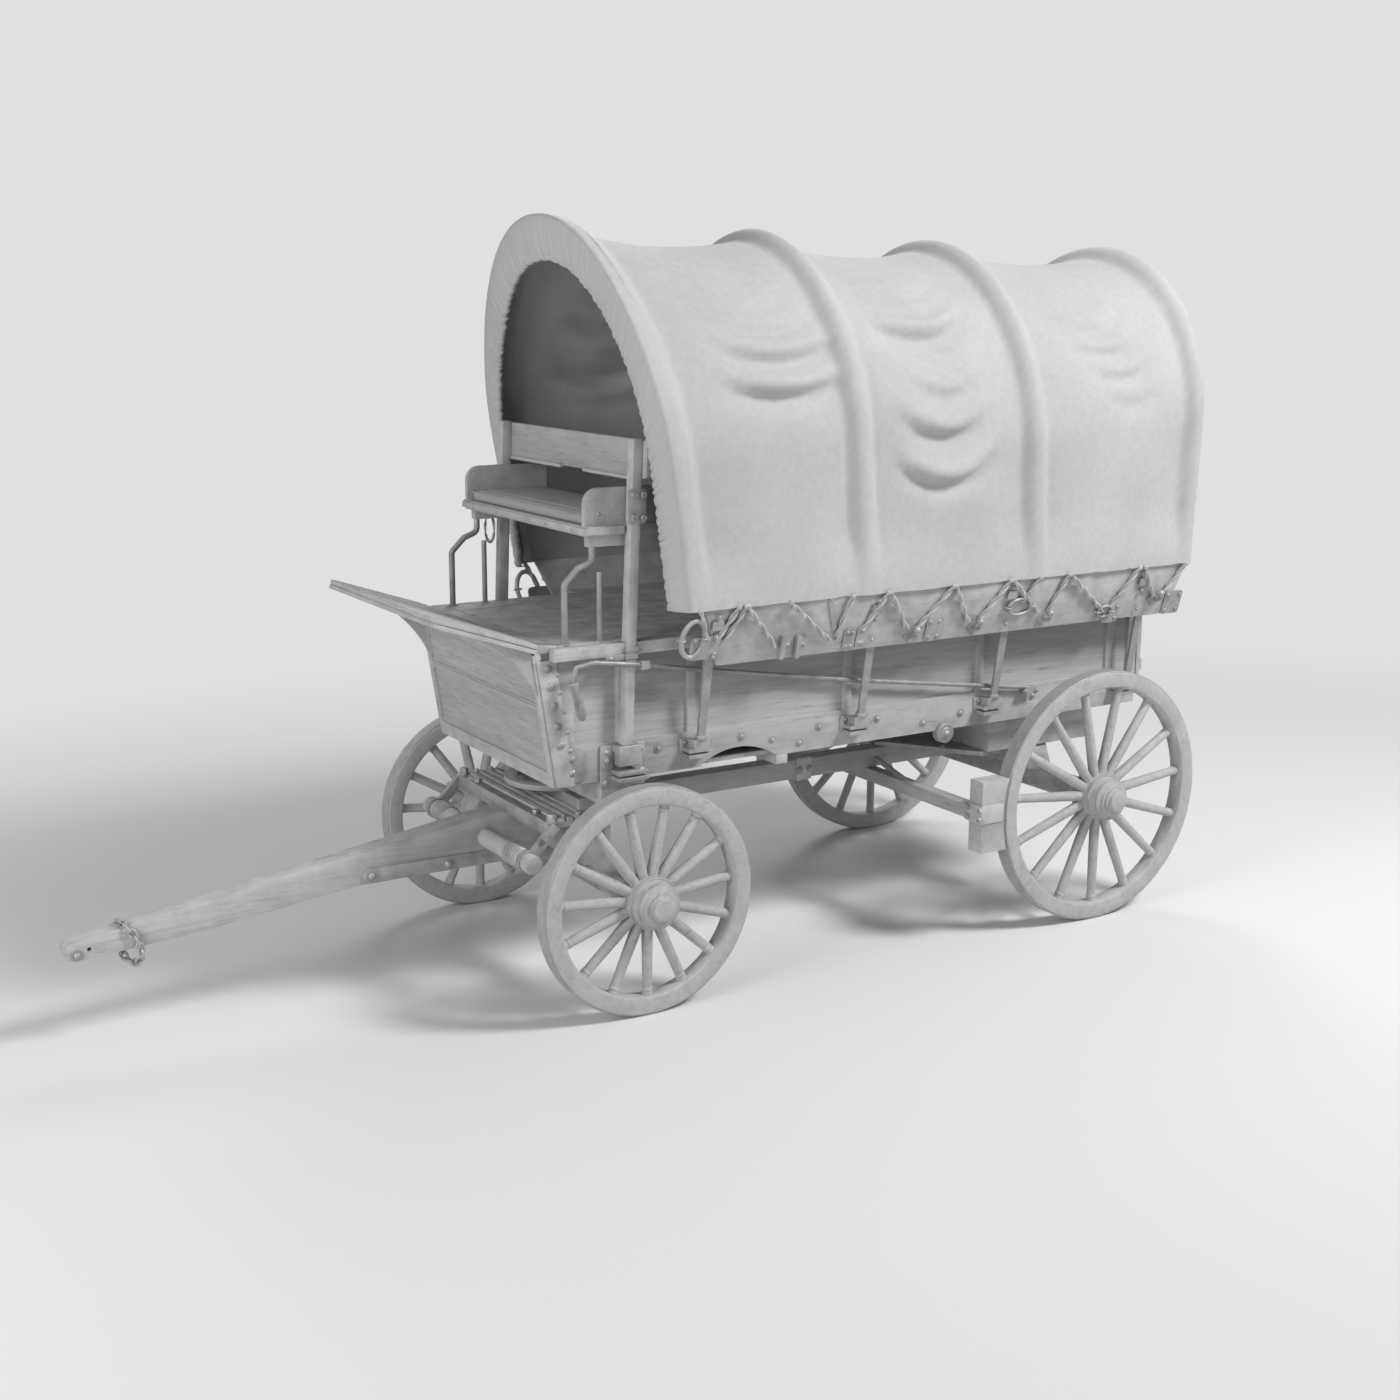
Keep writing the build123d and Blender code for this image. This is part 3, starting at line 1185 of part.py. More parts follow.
# Tailgate under the cover's rear mouth, on two pin hinges along its lower edge
pin_station = BOX_REAR - GATE_GAP - HINGE_KNUCKLE
pin_height = GATE_BOTTOM - HINGE_KNUCKLE - 3
hinges = box(
    BOX_REAR - 5, BOX_REAR, HINGE_LINES[0] - 70, HINGE_LINES[1] + 70, pin_height - 30, pin_height + 12
)
gate = box(
    BOX_REAR - GATE_GAP - GATE_THICK,
    BOX_REAR - GATE_GAP,
    -BOX_HALF_WIDTH,
    BOX_HALF_WIDTH,
    GATE_BOTTOM,
    BOX_TOP - GATE_GAP,
)
for middle in HINGE_LINES:
    pin = Pos(pin_station, middle, pin_height) * Rot(90, 0, 0) * Cylinder(HINGE_RADIUS, 2 * HINGE_WIDTH)
    lug = Pos(pin_station, 0, pin_height) * Rot(90, 0, 0) * Cylinder(HINGE_KNUCKLE - 3, HINGE_WIDTH / 2)
    for hand in (-1, 1):
        place = middle + hand * (0.75 * HINGE_WIDTH + 0.5)
        hinges += Pos(0, place, 0) * lug
        hinges += box(
            pin_station,
            BOX_REAR,
            place - HINGE_WIDTH / 4,
            place + HINGE_WIDTH / 4,
            pin_height - HINGE_KNUCKLE + 3,
            pin_height + HINGE_KNUCKLE - 3,
        )
    hinges += pin
    knuckle = Pos(pin_station, middle, pin_height) * Rot(90, 0, 0) * Cylinder(HINGE_KNUCKLE, HINGE_WIDTH)
    strap = box(
        BOX_REAR - GATE_GAP - GATE_THICK - 6,
        BOX_REAR - GATE_GAP - GATE_THICK,
        middle - HINGE_WIDTH / 2,
        middle + HINGE_WIDTH / 2,
        pin_height,
        pin_height + 330,
    )
    web = box(
        BOX_REAR - GATE_GAP - GATE_THICK - 6,
        pin_station,
        middle - HINGE_WIDTH / 2,
        middle + HINGE_WIDTH / 2,
        pin_height,
        GATE_BOTTOM,
    )
    bore = Pos(pin_station, middle, pin_height) * Rot(90, 0, 0) * Cylinder(
        HINGE_RADIUS + RUNNING_GAP, 3 * HINGE_WIDTH
    )
    gate = gate + knuckle + strap + web - bore
for height in (GATE_BOTTOM + 90, BOX_TOP - 120):
    gate += box(
        BOX_REAR - GATE_GAP - GATE_THICK - 14,
        BOX_REAR - GATE_GAP - GATE_THICK,
        -BOX_HALF_WIDTH,
        BOX_HALF_WIDTH,
        height,
        height + 60,
    )
save("gate_hinges", hinges)
save("tailgate", gate)
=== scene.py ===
import json
from math import atan2, cos, hypot, pi, radians, sin

import bmesh
import bpy
import numpy as np
from mathutils import Matrix, Vector

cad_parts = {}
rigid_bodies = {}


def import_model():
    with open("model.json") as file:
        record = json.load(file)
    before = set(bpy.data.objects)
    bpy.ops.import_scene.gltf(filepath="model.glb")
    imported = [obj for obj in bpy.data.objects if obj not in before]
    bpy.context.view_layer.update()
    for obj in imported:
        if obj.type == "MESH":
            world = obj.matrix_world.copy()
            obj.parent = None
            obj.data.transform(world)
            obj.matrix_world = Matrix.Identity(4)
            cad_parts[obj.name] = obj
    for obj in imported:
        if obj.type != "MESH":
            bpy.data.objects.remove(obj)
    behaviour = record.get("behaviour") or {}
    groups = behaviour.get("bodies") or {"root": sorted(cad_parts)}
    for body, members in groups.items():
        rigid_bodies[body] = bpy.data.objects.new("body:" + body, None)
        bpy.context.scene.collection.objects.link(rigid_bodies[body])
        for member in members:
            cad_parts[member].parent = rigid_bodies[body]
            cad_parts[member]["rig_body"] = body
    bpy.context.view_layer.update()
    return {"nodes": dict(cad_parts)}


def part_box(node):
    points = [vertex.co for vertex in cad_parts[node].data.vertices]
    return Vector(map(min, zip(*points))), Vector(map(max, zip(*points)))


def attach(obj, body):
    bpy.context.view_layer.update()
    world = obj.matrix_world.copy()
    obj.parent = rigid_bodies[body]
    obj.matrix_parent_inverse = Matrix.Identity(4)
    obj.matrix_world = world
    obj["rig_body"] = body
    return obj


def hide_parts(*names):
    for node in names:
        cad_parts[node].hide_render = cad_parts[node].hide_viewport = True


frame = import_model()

# Camera. It stands where the photograph's did, found by fitting the wheels, the box and the seat.
# Metres, +X to the tongue, +Y to the wagon's left, +Z up, ground at Z = 0. A station is counted
# along X from the middle of the wheelbase, which stands at X = MID.
MID = -0.7755
EYE_STATION, EYE_OUT, EYE_HEIGHT = 4.9447, 7.2638, 3.0457
YAW, PITCH, ROLL = -2.1218, -0.2198, 0.0047
scene = bpy.context.scene
scene.view_settings.view_transform = "Standard"


def placed(name, data):
    """A new object in the scene."""
    obj = bpy.data.objects.new(name, data)
    scene.collection.objects.link(obj)
    return obj


camera = placed("camera", bpy.data.cameras.new("camera"))
camera.data.sensor_width = 36.0
camera.data.lens = 46.07
camera.data.clip_end = 300.0
look = Vector((cos(PITCH) * cos(YAW), cos(PITCH) * sin(YAW), sin(PITCH)))
turn = look.to_track_quat("-Z", "Y").to_matrix() @ Matrix.Rotation(ROLL, 3, "Z")
camera.matrix_world = Matrix.Translation((EYE_STATION + MID, EYE_OUT, EYE_HEIGHT)) @ turn.to_4x4()
scene.camera = camera

# Studio. A pale floor that keeps the wagon's shadow and runs out into an even pale backdrop,
# one large soft lamp above the left side, a weak one ahead and one behind.
BACKDROP = (0.74, 0.745, 0.75)
FLOOR = (0.70, 0.70, 0.70)
SKY, SKY_LEVEL = (0.93, 0.96, 1.0), 0.27
FADE_START, FADE_END = 2.6, 7.5
FLOOR_SIDES, FLOOR_RADII = 96, (8.0, 120.0)
LAMPS = (
    # name, place, point it looks at, width, watts
    ("key", (-5.6, 6.4, 9.0), (-0.9, 0.0, 1.6), 2.6, 1120),
    ("ahead", (8.0, 3.0, 3.6), (0.0, 0.0, 1.3), 3.5, 330),
    ("behind", (-4.5, -7.5, 7.5), (-0.8, 0.0, 2.0), 4.0, 300),
)


def new_mesh(name, points, faces, material=None):
    """A mesh object from points and faces."""
    data = bpy.data.meshes.new(name)
    places = [tuple(map(float, p)) for p in points]
    data.from_pydata(places, [], [tuple(map(int, f)) for f in faces])
    data.update()
    if material is not None:
        data.materials.append(material)
    return placed(name, data)


def feed(tree, node, **inputs):
    """Links a socket or node, or sets a value, on inputs by name, or by number as n0, n1."""
    for key, value in inputs.items():
        numbered = key[0] == "n" and key[1:].isdigit()
        socket = node.inputs[int(key[1:]) if numbered else key.replace("_", " ")]
        if isinstance(value, bpy.types.Node):
            value = value.outputs[0]
        if isinstance(value, bpy.types.NodeSocket):
            tree.links.new(value, socket)
        else:
            socket.default_value = value
    return node


def add(tree, kind, settings=(), **inputs):
    """A new node with its settings made, then its inputs fed."""
    node = tree.nodes.new(kind)
    for key, value in settings:
        setattr(node, key, value)
    return feed(tree, node, **inputs)


def math(tree, operation, a, b):
    """The result of one math node."""
    return add(tree, "ShaderNodeMath", [("operation", operation)], n0=a, n1=b).outputs[0]


def seen_directly(tree):
    """1 where a camera, mirror or glass ray looks, 0 where light is gathered."""
    ray = add(tree, "ShaderNodeLightPath").outputs
    either = math(tree, "MAXIMUM", ray["Is Camera Ray"], ray["Is Glossy Ray"])
    return math(tree, "MAXIMUM", either, ray["Is Transmission Ray"])


floor_material = bpy.data.materials.new("pale_floor")
floor_material.use_nodes = True
tree = floor_material.node_tree
shader = feed(tree, tree.nodes["Principled BSDF"], Base_Color=(*FLOOR, 1.0), Roughness=0.95)
place = add(tree, "ShaderNodeTexCoord").outputs["Object"]
centred = add(tree, "ShaderNodeMapping", Vector=place, Location=(-MID, 0, 0), Scale=(0.8, 1, 1))
far = add(tree, "ShaderNodeVectorMath", [("operation", "LENGTH")], Vector=centred).outputs["Value"]
smooth = [("interpolation_type", "SMOOTHSTEP")]
fade = add(tree, "ShaderNodeMapRange", smooth, n0=far, n1=FADE_START, n2=FADE_END)
glow = add(tree, "ShaderNodeEmission", Color=(*BACKDROP, 1.0), Strength=1.0)
share = math(tree, "MULTIPLY", fade, seen_directly(tree))
blend = add(tree, "ShaderNodeMixShader", n0=share, n1=shader, n2=glow)
feed(tree, tree.nodes["Material Output"], Surface=blend)
floor_points = []
for radius in FLOOR_RADII:
    for k in range(FLOOR_SIDES):
        angle = 2 * pi * k / FLOOR_SIDES
        floor_points.append((radius * cos(angle) + MID, radius * sin(angle), 0.0))
floor_faces = [tuple(range(FLOOR_SIDES))]
for k in range(FLOOR_SIDES):
    after = (k + 1) % FLOOR_SIDES
    floor_faces.append((k + FLOOR_SIDES, after + FLOOR_SIDES, after, k))
new_mesh("floor", floor_points, floor_faces, floor_material)

world = bpy.data.worlds.new("studio")
scene.world = world
world.use_nodes = True
tree = world.node_tree
light = feed(tree, tree.nodes["Background"], Color=(*SKY, 1.0), Strength=SKY_LEVEL)
backdrop = add(tree, "ShaderNodeBackground", Color=(*BACKDROP, 1.0), Strength=1.0)
blend = add(tree, "ShaderNodeMixShader", n0=seen_directly(tree), n1=light, n2=backdrop)
feed(tree, tree.nodes["World Output"], Surface=blend)

for name, place, target, width, power in LAMPS:
    lamp = placed(name, bpy.data.lights.new(name, "AREA"))
    lamp.data.size = width
    lamp.data.energy = power
    aim = (Vector(target) - Vector(place)).to_track_quat("-Z", "Y")
    lamp.matrix_world = Matrix.Translation(place) @ aim.to_matrix().to_4x4()

# Fixed gear under the box: the reach and the two bolsters are sawn grey oak, the rear axle and
# hounds are forged. Each CAD solid is shown as a worn copy of itself, merged, with its edges
# rounded as use has rounded the real ones.
OAK_LIGHT, OAK_DARK = (0.44, 0.435, 0.425), (0.355, 0.35, 0.342)
IRON_LIGHT, IRON_DARK = (0.33, 0.33, 0.335), (0.235, 0.234, 0.234)
RUBBED_OAK, RUBBED_IRON = (0.50, 0.495, 0.485), (0.42, 0.42, 0.425)
SOCKET_KINDS = {int: "Int", float: "Float", tuple: "Color"}


def group_tree(name, kind, inputs, outputs):
    """A node group's tree, given sockets and end. An input has a default, or its kind as a word."""
    tree = bpy.data.node_groups.new(name, kind + "NodeTree")
    for label, value in inputs.items():
        word = value if isinstance(value, str) else SOCKET_KINDS[type(value)]
        kind_name = "NodeSocket" + word
        socket = tree.interface.new_socket(name=label, in_out="INPUT", socket_type=kind_name)
        if word != value:
            socket.default_value = value
    for label, word in outputs.items():
        tree.interface.new_socket(name=label, in_out="OUTPUT", socket_type="NodeSocket" + word)
    return tree, tree.nodes.new("NodeGroupInput").outputs, tree.nodes.new("NodeGroupOutput")


def ramp(tree, factor, low, high, start=0.0, end=1.0):
    """Runs from start to end while a factor goes from low to high."""
    return add(tree, "ShaderNodeMapRange", n0=factor, n1=low, n2=high, n3=start, n4=end).outputs[0]


def mix(tree, kind, factor, a, b):
    """A colour mix of two sockets or values."""
    settings = [("data_type", "RGBA"), ("blend_type", kind)]
    return add(tree, "ShaderNodeMix", settings, n0=factor, n6=a, n7=b).outputs[2]


def noise(tree, vector, scale, detail, rough, wobble=0.0):
    """A noise texture's factor."""
    node = add(tree, "ShaderNodeTexNoise", Vector=vector, Scale=scale, Detail=detail)
    return feed(tree, node, Roughness=rough, Distortion=wobble).outputs[0]


FINISH_INPUTS = {"Vector": "Vector", "Light": (0.5, 0.5, 0.5, 1), "Dark": (0.2, 0.2, 0.2, 1)}
FINISH_OUTPUTS = {"Color": "Color", "Height": "Float", "Roughness": "Float"}

grain, given, end = group_tree("long_grain", "Shader", FINISH_INPUTS, FINISH_OUTPUTS)
vector = given["Vector"]
fibre_mask = ramp(grain, noise(grain, vector, 9.0, 9.0, 0.62, 0.35), 0.34, 0.66)
figure_mask = ramp(grain, noise(grain, vector, 1.7, 3.0, 0.5, 0.8), 0.30, 0.70)
check_mask = ramp(grain, noise(grain, vector, 5.2, 5.0, 0.7), 0.30, 0.37)
base = mix(grain, "MIX", fibre_mask, given["Dark"], given["Light"])
shaded = mix(grain, "MULTIPLY", 0.15, base, figure_mask)
feed(
    grain,
    end,
    Color=mix(grain, "MULTIPLY", 0.40, shaded, check_mask),
    Height=math(grain, "MULTIPLY", fibre_mask, check_mask),
    Roughness=ramp(grain, fibre_mask, 0, 1, 0.86, 0.58),
)

forged, given, end = group_tree("forge_scale", "Shader", FINISH_INPUTS, FINISH_OUTPUTS)
vector = given["Vector"]
scale_mask = ramp(forged, noise(forged, vector, 16.0, 6.0, 0.65), 0.33, 0.66)
pits = ramp(forged, add(forged, "ShaderNodeTexVoronoi", Vector=vector, Scale=120.0), 0.05, 0.35)
dents = noise(forged, vector, 38.0, 2.0, 0.5)
feed(
    forged,
    end,
    Color=mix(forged, "MIX", scale_mask, given["Dark"], given["Light"]),
    Height=math(forged, "ADD", math(forged, "MULTIPLY", pits, 0.4), dents),
    Roughness=ramp(forged, scale_mask, 0, 1, 0.66, 0.40),
)

wear_inputs = {"Vector": "Vector", "Edge": 0.5}
wear, given, end = group_tree("rubbed_edges", "Shader", wear_inputs, {"Mask": "Float"})
patches = ramp(wear, noise(wear, given["Vector"], 11.0, 4.0, 0.6), 0.32, 0.62)
feed(wear, end, Mask=math(wear, "MULTIPLY", ramp(wear, given["Edge"], 0.505, 0.56), patches))


def textured(
    name,
    finish,
    light,
    dark,
    stretch=(1, 1, 1),
    bump=0.25,
    depth=0.004,
    metal=0.0,
    uv=None,
    rubbed=None,
):
    """A Principled material that reads Object coordinates or a UV map through a shared group."""
    material = bpy.data.materials.new(name)
    material.use_nodes = True
    tree = material.node_tree
    if uv:
        source = add(tree, "ShaderNodeUVMap", [("uv_map", uv)]).outputs["UV"]
    else:
        source = add(tree, "ShaderNodeTexCoord").outputs["Object"]
    mapping = add(tree, "ShaderNodeMapping", Vector=source, Scale=stretch)
    group = add(tree, "ShaderNodeGroup", [("node_tree", finish)], Vector=mapping)
    feed(tree, group, Light=(*light, 1.0), Dark=(*dark, 1.0))
    colour = group.outputs["Color"]
    if rubbed:
        edge = add(tree, "ShaderNodeNewGeometry").outputs["Pointiness"]
        mask = add(tree, "ShaderNodeGroup", [("node_tree", wear)], Vector=source, Edge=edge)
        colour = mix(tree, "MIX", mask, colour, (*rubbed, 1.0))
    height = group.outputs["Height"]
    relief = add(tree, "ShaderNodeBump", Strength=bump, Distance=depth, Height=height)
    shader = feed(tree, tree.nodes["Principled BSDF"], Base_Color=colour, Metallic=metal)
    feed(tree, shader, Roughness=group.outputs["Roughness"], Normal=relief)
    return material


def wood(name, stretch, light=OAK_LIGHT, dark=OAK_DARK, bump=0.25):
    """A material with long grain and rubbed edges."""
    return textured(name, grain, light, dark, stretch, bump, rubbed=RUBBED_OAK)


oak_x = wood("oak_along_x", (0.9, 9.0, 9.0))
oak_y = wood("oak_along_y", (9.0, 0.9, 9.0))
iron = textured(
    "iron", forged, IRON_LIGHT, IRON_DARK, bump=0.16, depth=0.002, metal=0.35, rubbed=RUBBED_IRON
)


def evaluated(obj):
    """A plain mesh of an object with its modifiers applied."""
    bpy.context.view_layer.update()
    graph = bpy.context.evaluated_depsgraph_get()
    return bpy.data.meshes.new_from_object(obj.evaluated_get(graph))


def settle(obj):
    """Applies every modifier on a mesh object."""
    made, old = evaluated(obj), obj.data
    obj.modifiers.clear()
    obj.data = made
    bpy.data.meshes.remove(old)


def finished(obj, body, angle, radius=0.0):
    """Rounds an object's sharp edges, shades it smooth between them and sets it on its body."""
    if radius > 0:
        bevel = obj.modifiers.new("edges", "BEVEL")
        bevel.width = radius
        bevel.segments = 2
        bevel.limit_method = "ANGLE"
        bevel.angle_limit = radians(38)
        bevel.use_clamp_overlap = True
        settle(obj)
    obj.data.polygons.foreach_set("use_smooth", [True] * len(obj.data.polygons))
    obj.data.set_sharp_from_angle(angle=radians(angle))
    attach(obj, body)
    return obj


def worn(node, material, radius, reshape=None):
    """A copy of a CAD node with rounded edges that stands for it, its points first reshaped."""
    source = frame["nodes"][node]
    data = source.data.copy()
    work = bmesh.new()
    work.from_mesh(data)
    bmesh.ops.remove_doubles(work, verts=work.verts, dist=2e-5)
    bmesh.ops.dissolve_limit(work, angle_limit=radians(0.7), verts=work.verts, edges=work.edges)
    if reshape:
        reshape(work)
    work.to_mesh(data)
    work.free()
    data.materials.clear()
    data.materials.append(material)
    obj = finished(placed(node + "_worn", data), source["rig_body"], 34, radius)
    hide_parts(node)


worn("rear_bolster", oak_x, 0.006)
worn("front_bolster", oak_y, 0.005)
worn("reach", oak_x, 0.005)
worn("rear_axle", iron, 0.004)
worn("rear_hounds", iron, 0.0025)

# Bolts, rivets and nuts. Every fastening is a forged head with a worn crown, some on a washer.
# One head is turned by a node tree from two short curves and set on each point of a table,
# square to the surface that it holds.
DOME = (
    # share of the head's height, of its radius
    (0.0, 1.0),
    (0.16, 1.0),
    (0.42, 0.90),
    (0.70, 0.66),
    (0.92, 0.36),
    (1.0, 0.12),
)
WASHER = (
    # share of the head's height, of its radius
    (0.0, 1.0),
    (0.22, 1.0),
    (0.26, 0.62),
    (0.50, 0.60),
    (0.80, 0.46),
    (1.0, 0.16),
)
NUT = (
    # share of the head's height, of its radius
    (0.0, 1.0),
    (0.10, 1.0),
    (0.86, 1.0),
    (1.0, 0.86),
    (1.0, 0.50),
    (0.92, 0.40),
)
UP, OUT, AHEAD, BACK = (0, 0, 1), (0, 1, 0), (1, 0, 0), (-1, 0, 0)


def close_tree(tree, end, made, material):
    """Ends a geometry tree with plain, realized geometry and its material."""
    whole = add(tree, "GeometryNodeRealizeInstances", Geometry=made)
    feed(tree, end, n0=add(tree, "GeometryNodeSetMaterial", Geometry=whole, Material=material))


def head_tree(label, profile):
    """A tree that sets one turned head on every point, along the point's own direction."""
    inputs = {"Points": "Geometry", "Sides": 12, "Radius": 0.012, "Height": 0.010, "Seed": 3}
    inputs["Material"] = "Material"
    tree, given, end = group_tree(label, "Geometry", inputs, {"Heads": "Geometry"})
    blank = add(tree, "GeometryNodeMeshCylinder", Vertices=given["Sides"], Radius=1.0, Depth=1.0)
    feed(tree, blank, Side_Segments=len(profile) - 1)
    spot = add(tree, "ShaderNodeSeparateXYZ", Vector=add(tree, "GeometryNodeInputPosition")).outputs
    along = math(tree, "ADD", spot["Z"], 0.5)
    shape = []
    for column in (0, 1):
        curve = add(tree, "ShaderNodeFloatCurve", Value=along)
        points = curve.mapping.curves[0].points
        while len(points) < len(profile):
            points.new(0.5, 0.5)
        for step, point in enumerate(points):
            point.location = (step / (len(profile) - 1), profile[step][column])
            point.handle_type = "VECTOR"
        curve.mapping.update()
        shape.append(curve.outputs[0])
    width = math(tree, "MULTIPLY", shape[1], given["Radius"])
    made = add(
        tree,
        "ShaderNodeCombineXYZ",
        X=math(tree, "MULTIPLY", spot["X"], width),
        Y=math(tree, "MULTIPLY", spot["Y"], width),
        Z=math(tree, "MULTIPLY", shape[0], given["Height"]),
    )
    head = add(tree, "GeometryNodeSetPosition", Geometry=blank, Position=made)
    out = add(tree, "GeometryNodeInputNamedAttribute", [("data_type", "FLOAT_VECTOR")], Name="out")
    size = add(tree, "GeometryNodeInputNamedAttribute", [("data_type", "FLOAT")], Name="size")
    way = out.outputs["Attribute"]
    aimed = add(tree, "FunctionNodeAlignRotationToVector", [("axis", "Z")], Vector=way)
    spin = add(tree, "FunctionNodeRandomValue", [("data_type", "FLOAT")], n2=0.0, n3=2 * pi)
    angle = feed(tree, spin, Seed=given["Seed"]).outputs[1]
    twist = add(tree, "FunctionNodeAxisAngleToRotation", Axis=UP, Angle=angle)
    local = [("rotation_space", "LOCAL")]
    facing = add(tree, "FunctionNodeRotateRotation", local, n0=aimed, n1=twist)
    set_on = add(tree, "GeometryNodeInstanceOnPoints", Points=given["Points"], Instance=head)
    feed(tree, set_on, Rotation=facing, Scale=size.outputs["Attribute"])
    close_tree(tree, end, set_on, given["Material"])
    return tree


def use_tree(obj, tree, **values):
    """Puts a node tree on an object, with values for its inputs by name."""
    modifier = obj.modifiers.new("made", "NODES")
    modifier.node_group = tree
    names = {i.name: i.identifier for i in tree.interface.items_tree if i.in_out == "INPUT"}
    for name, value in values.items():
        modifier[names[name.replace("_", " ")]] = value


dome_tree = head_tree("dome_heads", DOME)
washer_tree = head_tree("washer_heads", WASHER)
nut_tree = head_tree("nuts", NUT)


def heads(name, tree, rows, radius, height, sides=14, body="wagon"):
    """Forged heads, one for each row of (place, direction, relative size)."""
    obj = new_mesh(name, [row[0] for row in rows], [])
    out = obj.data.attributes.new("out", "FLOAT_VECTOR", "POINT")
    out.data.foreach_set("vector", [v for row in rows for v in row[1]])
    size = obj.data.attributes.new("size", "FLOAT", "POINT")
    size.data.foreach_set("value", [row[2] for row in rows])
    use_tree(obj, tree, Sides=sides, Radius=radius, Height=height, Material=iron)
    settle(obj)
    finished(obj, body, 40)


def at(station, y, z):
    """A point given by its station."""
    return (station + MID, y, z)


def mirrored(rows):
    """Rows for heads on both sides, from rows of (station, out, height, direction, size)."""
    made = []
    for hand in (1, -1):
        for station, y, z, (x_way, y_way, z_way), size in rows:
            made.append((at(station, hand * y, z), (x_way, hand * y_way, z_way), size))
    return made


UNDER_BOLTS = (
    # station, out, height, direction, relative size
    (-1.21, 0.42, 0.700, UP, 1.2),
    (-1.346, 0.42, 0.700, UP, 1.2),
    (-0.80, 0.30, 0.803, UP, 1.1),
    (-0.075, 0.057, 0.729, OUT, 1.0),
    (-0.135, 0.057, 0.729, OUT, 1.0),
)
heads("under_bolts", washer_tree, mirrored(UNDER_BOLTS), 0.021, 0.016)

# Front gear: iron-clad axle with the lower turning ring, slatted platform, crossbar with its
# slanted arms and the round splinter bar. All of it steers under the front bolster.
CROSSBAR_FRONT, PLATFORM_HALF = 1.556, 0.480
ARM_STATION, ARM_OUT = CROSSBAR_FRONT - 0.024, PLATFORM_HALF - 0.018
SPLINTER_STATION, SPLINTER_HEIGHT, SPLINTER_RADIUS = 1.667, 0.646, 0.042
RING_COUNT, RING_START, RING_PITCH = 6, 0.335, 0.0210
worn("front_axle", iron, 0.004)
worn("gear_platform", oak_y, 0.0030)
worn("front_hounds", iron, 0.0035)
worn("splinter_bar", oak_y, 0.006)
GEAR_NUTS = (
    # station, out, height, direction, relative size
    (ARM_STATION, ARM_OUT, 0.809, UP, 1.25),
    (ARM_STATION, 0.31, 0.799, UP, 0.9),
    (1.395, 0.455, 0.809, UP, 0.7),
    (1.470, 0.455, 0.809, UP, 0.7),
    (1.585, 0.508, 0.742, (0.25, 1, 0.25), 0.9),
)
heads("gear_nuts", nut_tree, mirrored(GEAR_NUTS), 0.017, 0.022, 6, "front_gear")
rows = mirrored([(ARM_STATION, ARM_OUT, 0.799, UP, 1.0)])
heads("gear_washers", washer_tree, rows, 0.036, 0.014, body="front_gear")


def skin(rings, sides, closed=False):
    """Faces round a stack of rings, capped at both ends or closed into a loop."""
    faces = []
    for i in range(rings if closed else rings - 1):
        j = (i + 1) % rings
        for k in range(sides):
            m = (k + 1) % sides
            faces.append((i * sides + k, i * sides + m, j * sides + m, j * sides + k))
    if not closed:
        faces.append(tuple(range(sides))[::-1])
        faces.append(tuple((rings - 1) * sides + k for k in range(sides)))
    return faces


def turned(place, axis, profile, sides=24):
    """Points and faces of a turned piece: profile is (along, radius) pairs."""
    z = Vector(axis).normalized()
    x = z.orthogonal().normalized()
    y = z.cross(x)
    points = []
    for along, radius in profile:
        middle = Vector(place) + z * along
        for k in range(sides):
            angle = 2 * pi * k / sides
            points.append(middle + x * (radius * cos(angle)) + y * (radius * sin(angle)))
    return points, skin(len(profile), sides)


def band_profile(half, inner, edge, outer, chamfer=0.002):
    """A flat band's section with chamfered outer corners, as (along, radius) pairs."""
    rise = [(-half, inner), (-half, edge), (-half + chamfer, outer)]
    return rise + [(-along, radius) for along, radius in rise[::-1]]


def joined(
    name, shapes, body="wagon", material=iron, angle=40, radius=0.0
):
    """One mesh from many small shapes, riding on a body."""
    points, faces = [], []
    for shape_points, shape_faces in shapes:
        start = len(points)
        points.extend(shape_points)
        faces.extend(tuple(start + i for i in f) for f in shape_faces)
    obj = new_mesh(name, points, faces, material)
    work = bmesh.new()
    work.from_mesh(obj.data)
    bmesh.ops.recalc_face_normals(work, faces=work.faces)
    work.to_mesh(obj.data)
    work.free()
    finished(obj, body, angle, radius)


shapes = []
low, middle, top = SPLINTER_RADIUS - 0.002, SPLINTER_RADIUS + 0.005, SPLINTER_RADIUS + 0.008
WEAR_RING = (
    # along the splinter bar, radius
    (-0.0065, low),
    (-0.0055, middle),
    (0.0, top),
    (0.0055, middle),
    (0.0065, low),
)
for hand in (1, -1):
    for number in range(RING_COUNT):
        place = at(SPLINTER_STATION, hand * (RING_START + RING_PITCH * number), SPLINTER_HEIGHT)
        shapes.append(turned(place, OUT, WEAR_RING, 32))
joined("splinter_rings", shapes, "front_gear", angle=60)

# Tongue: one long tapered ash pole with an iron strap along each side, a bolt through each end
# of the straps and a heavy chain looped round it near the tip.
TONGUE_REAR, TONGUE_TIP = 1.600, 3.545
TONGUE_TAPER_END = TONGUE_TIP - 0.022
TONGUE_REAR_HALF, TONGUE_TIP_HALF = 0.070, 0.047
STRAP_REAR, STRAP_FRONT, STRAP_LOW, STRAP_HIGH = 1.575, 2.265, 0.524, 0.588
STRAP_SUNK, STRAP_PROUD = 0.006, 0.012
ash_pole = wood("tongue_ash", (0.7, 8.0, 8.0), (0.45, 0.445, 0.435), (0.36, 0.355, 0.35))
worn("tongue", ash_pole, 0.014)


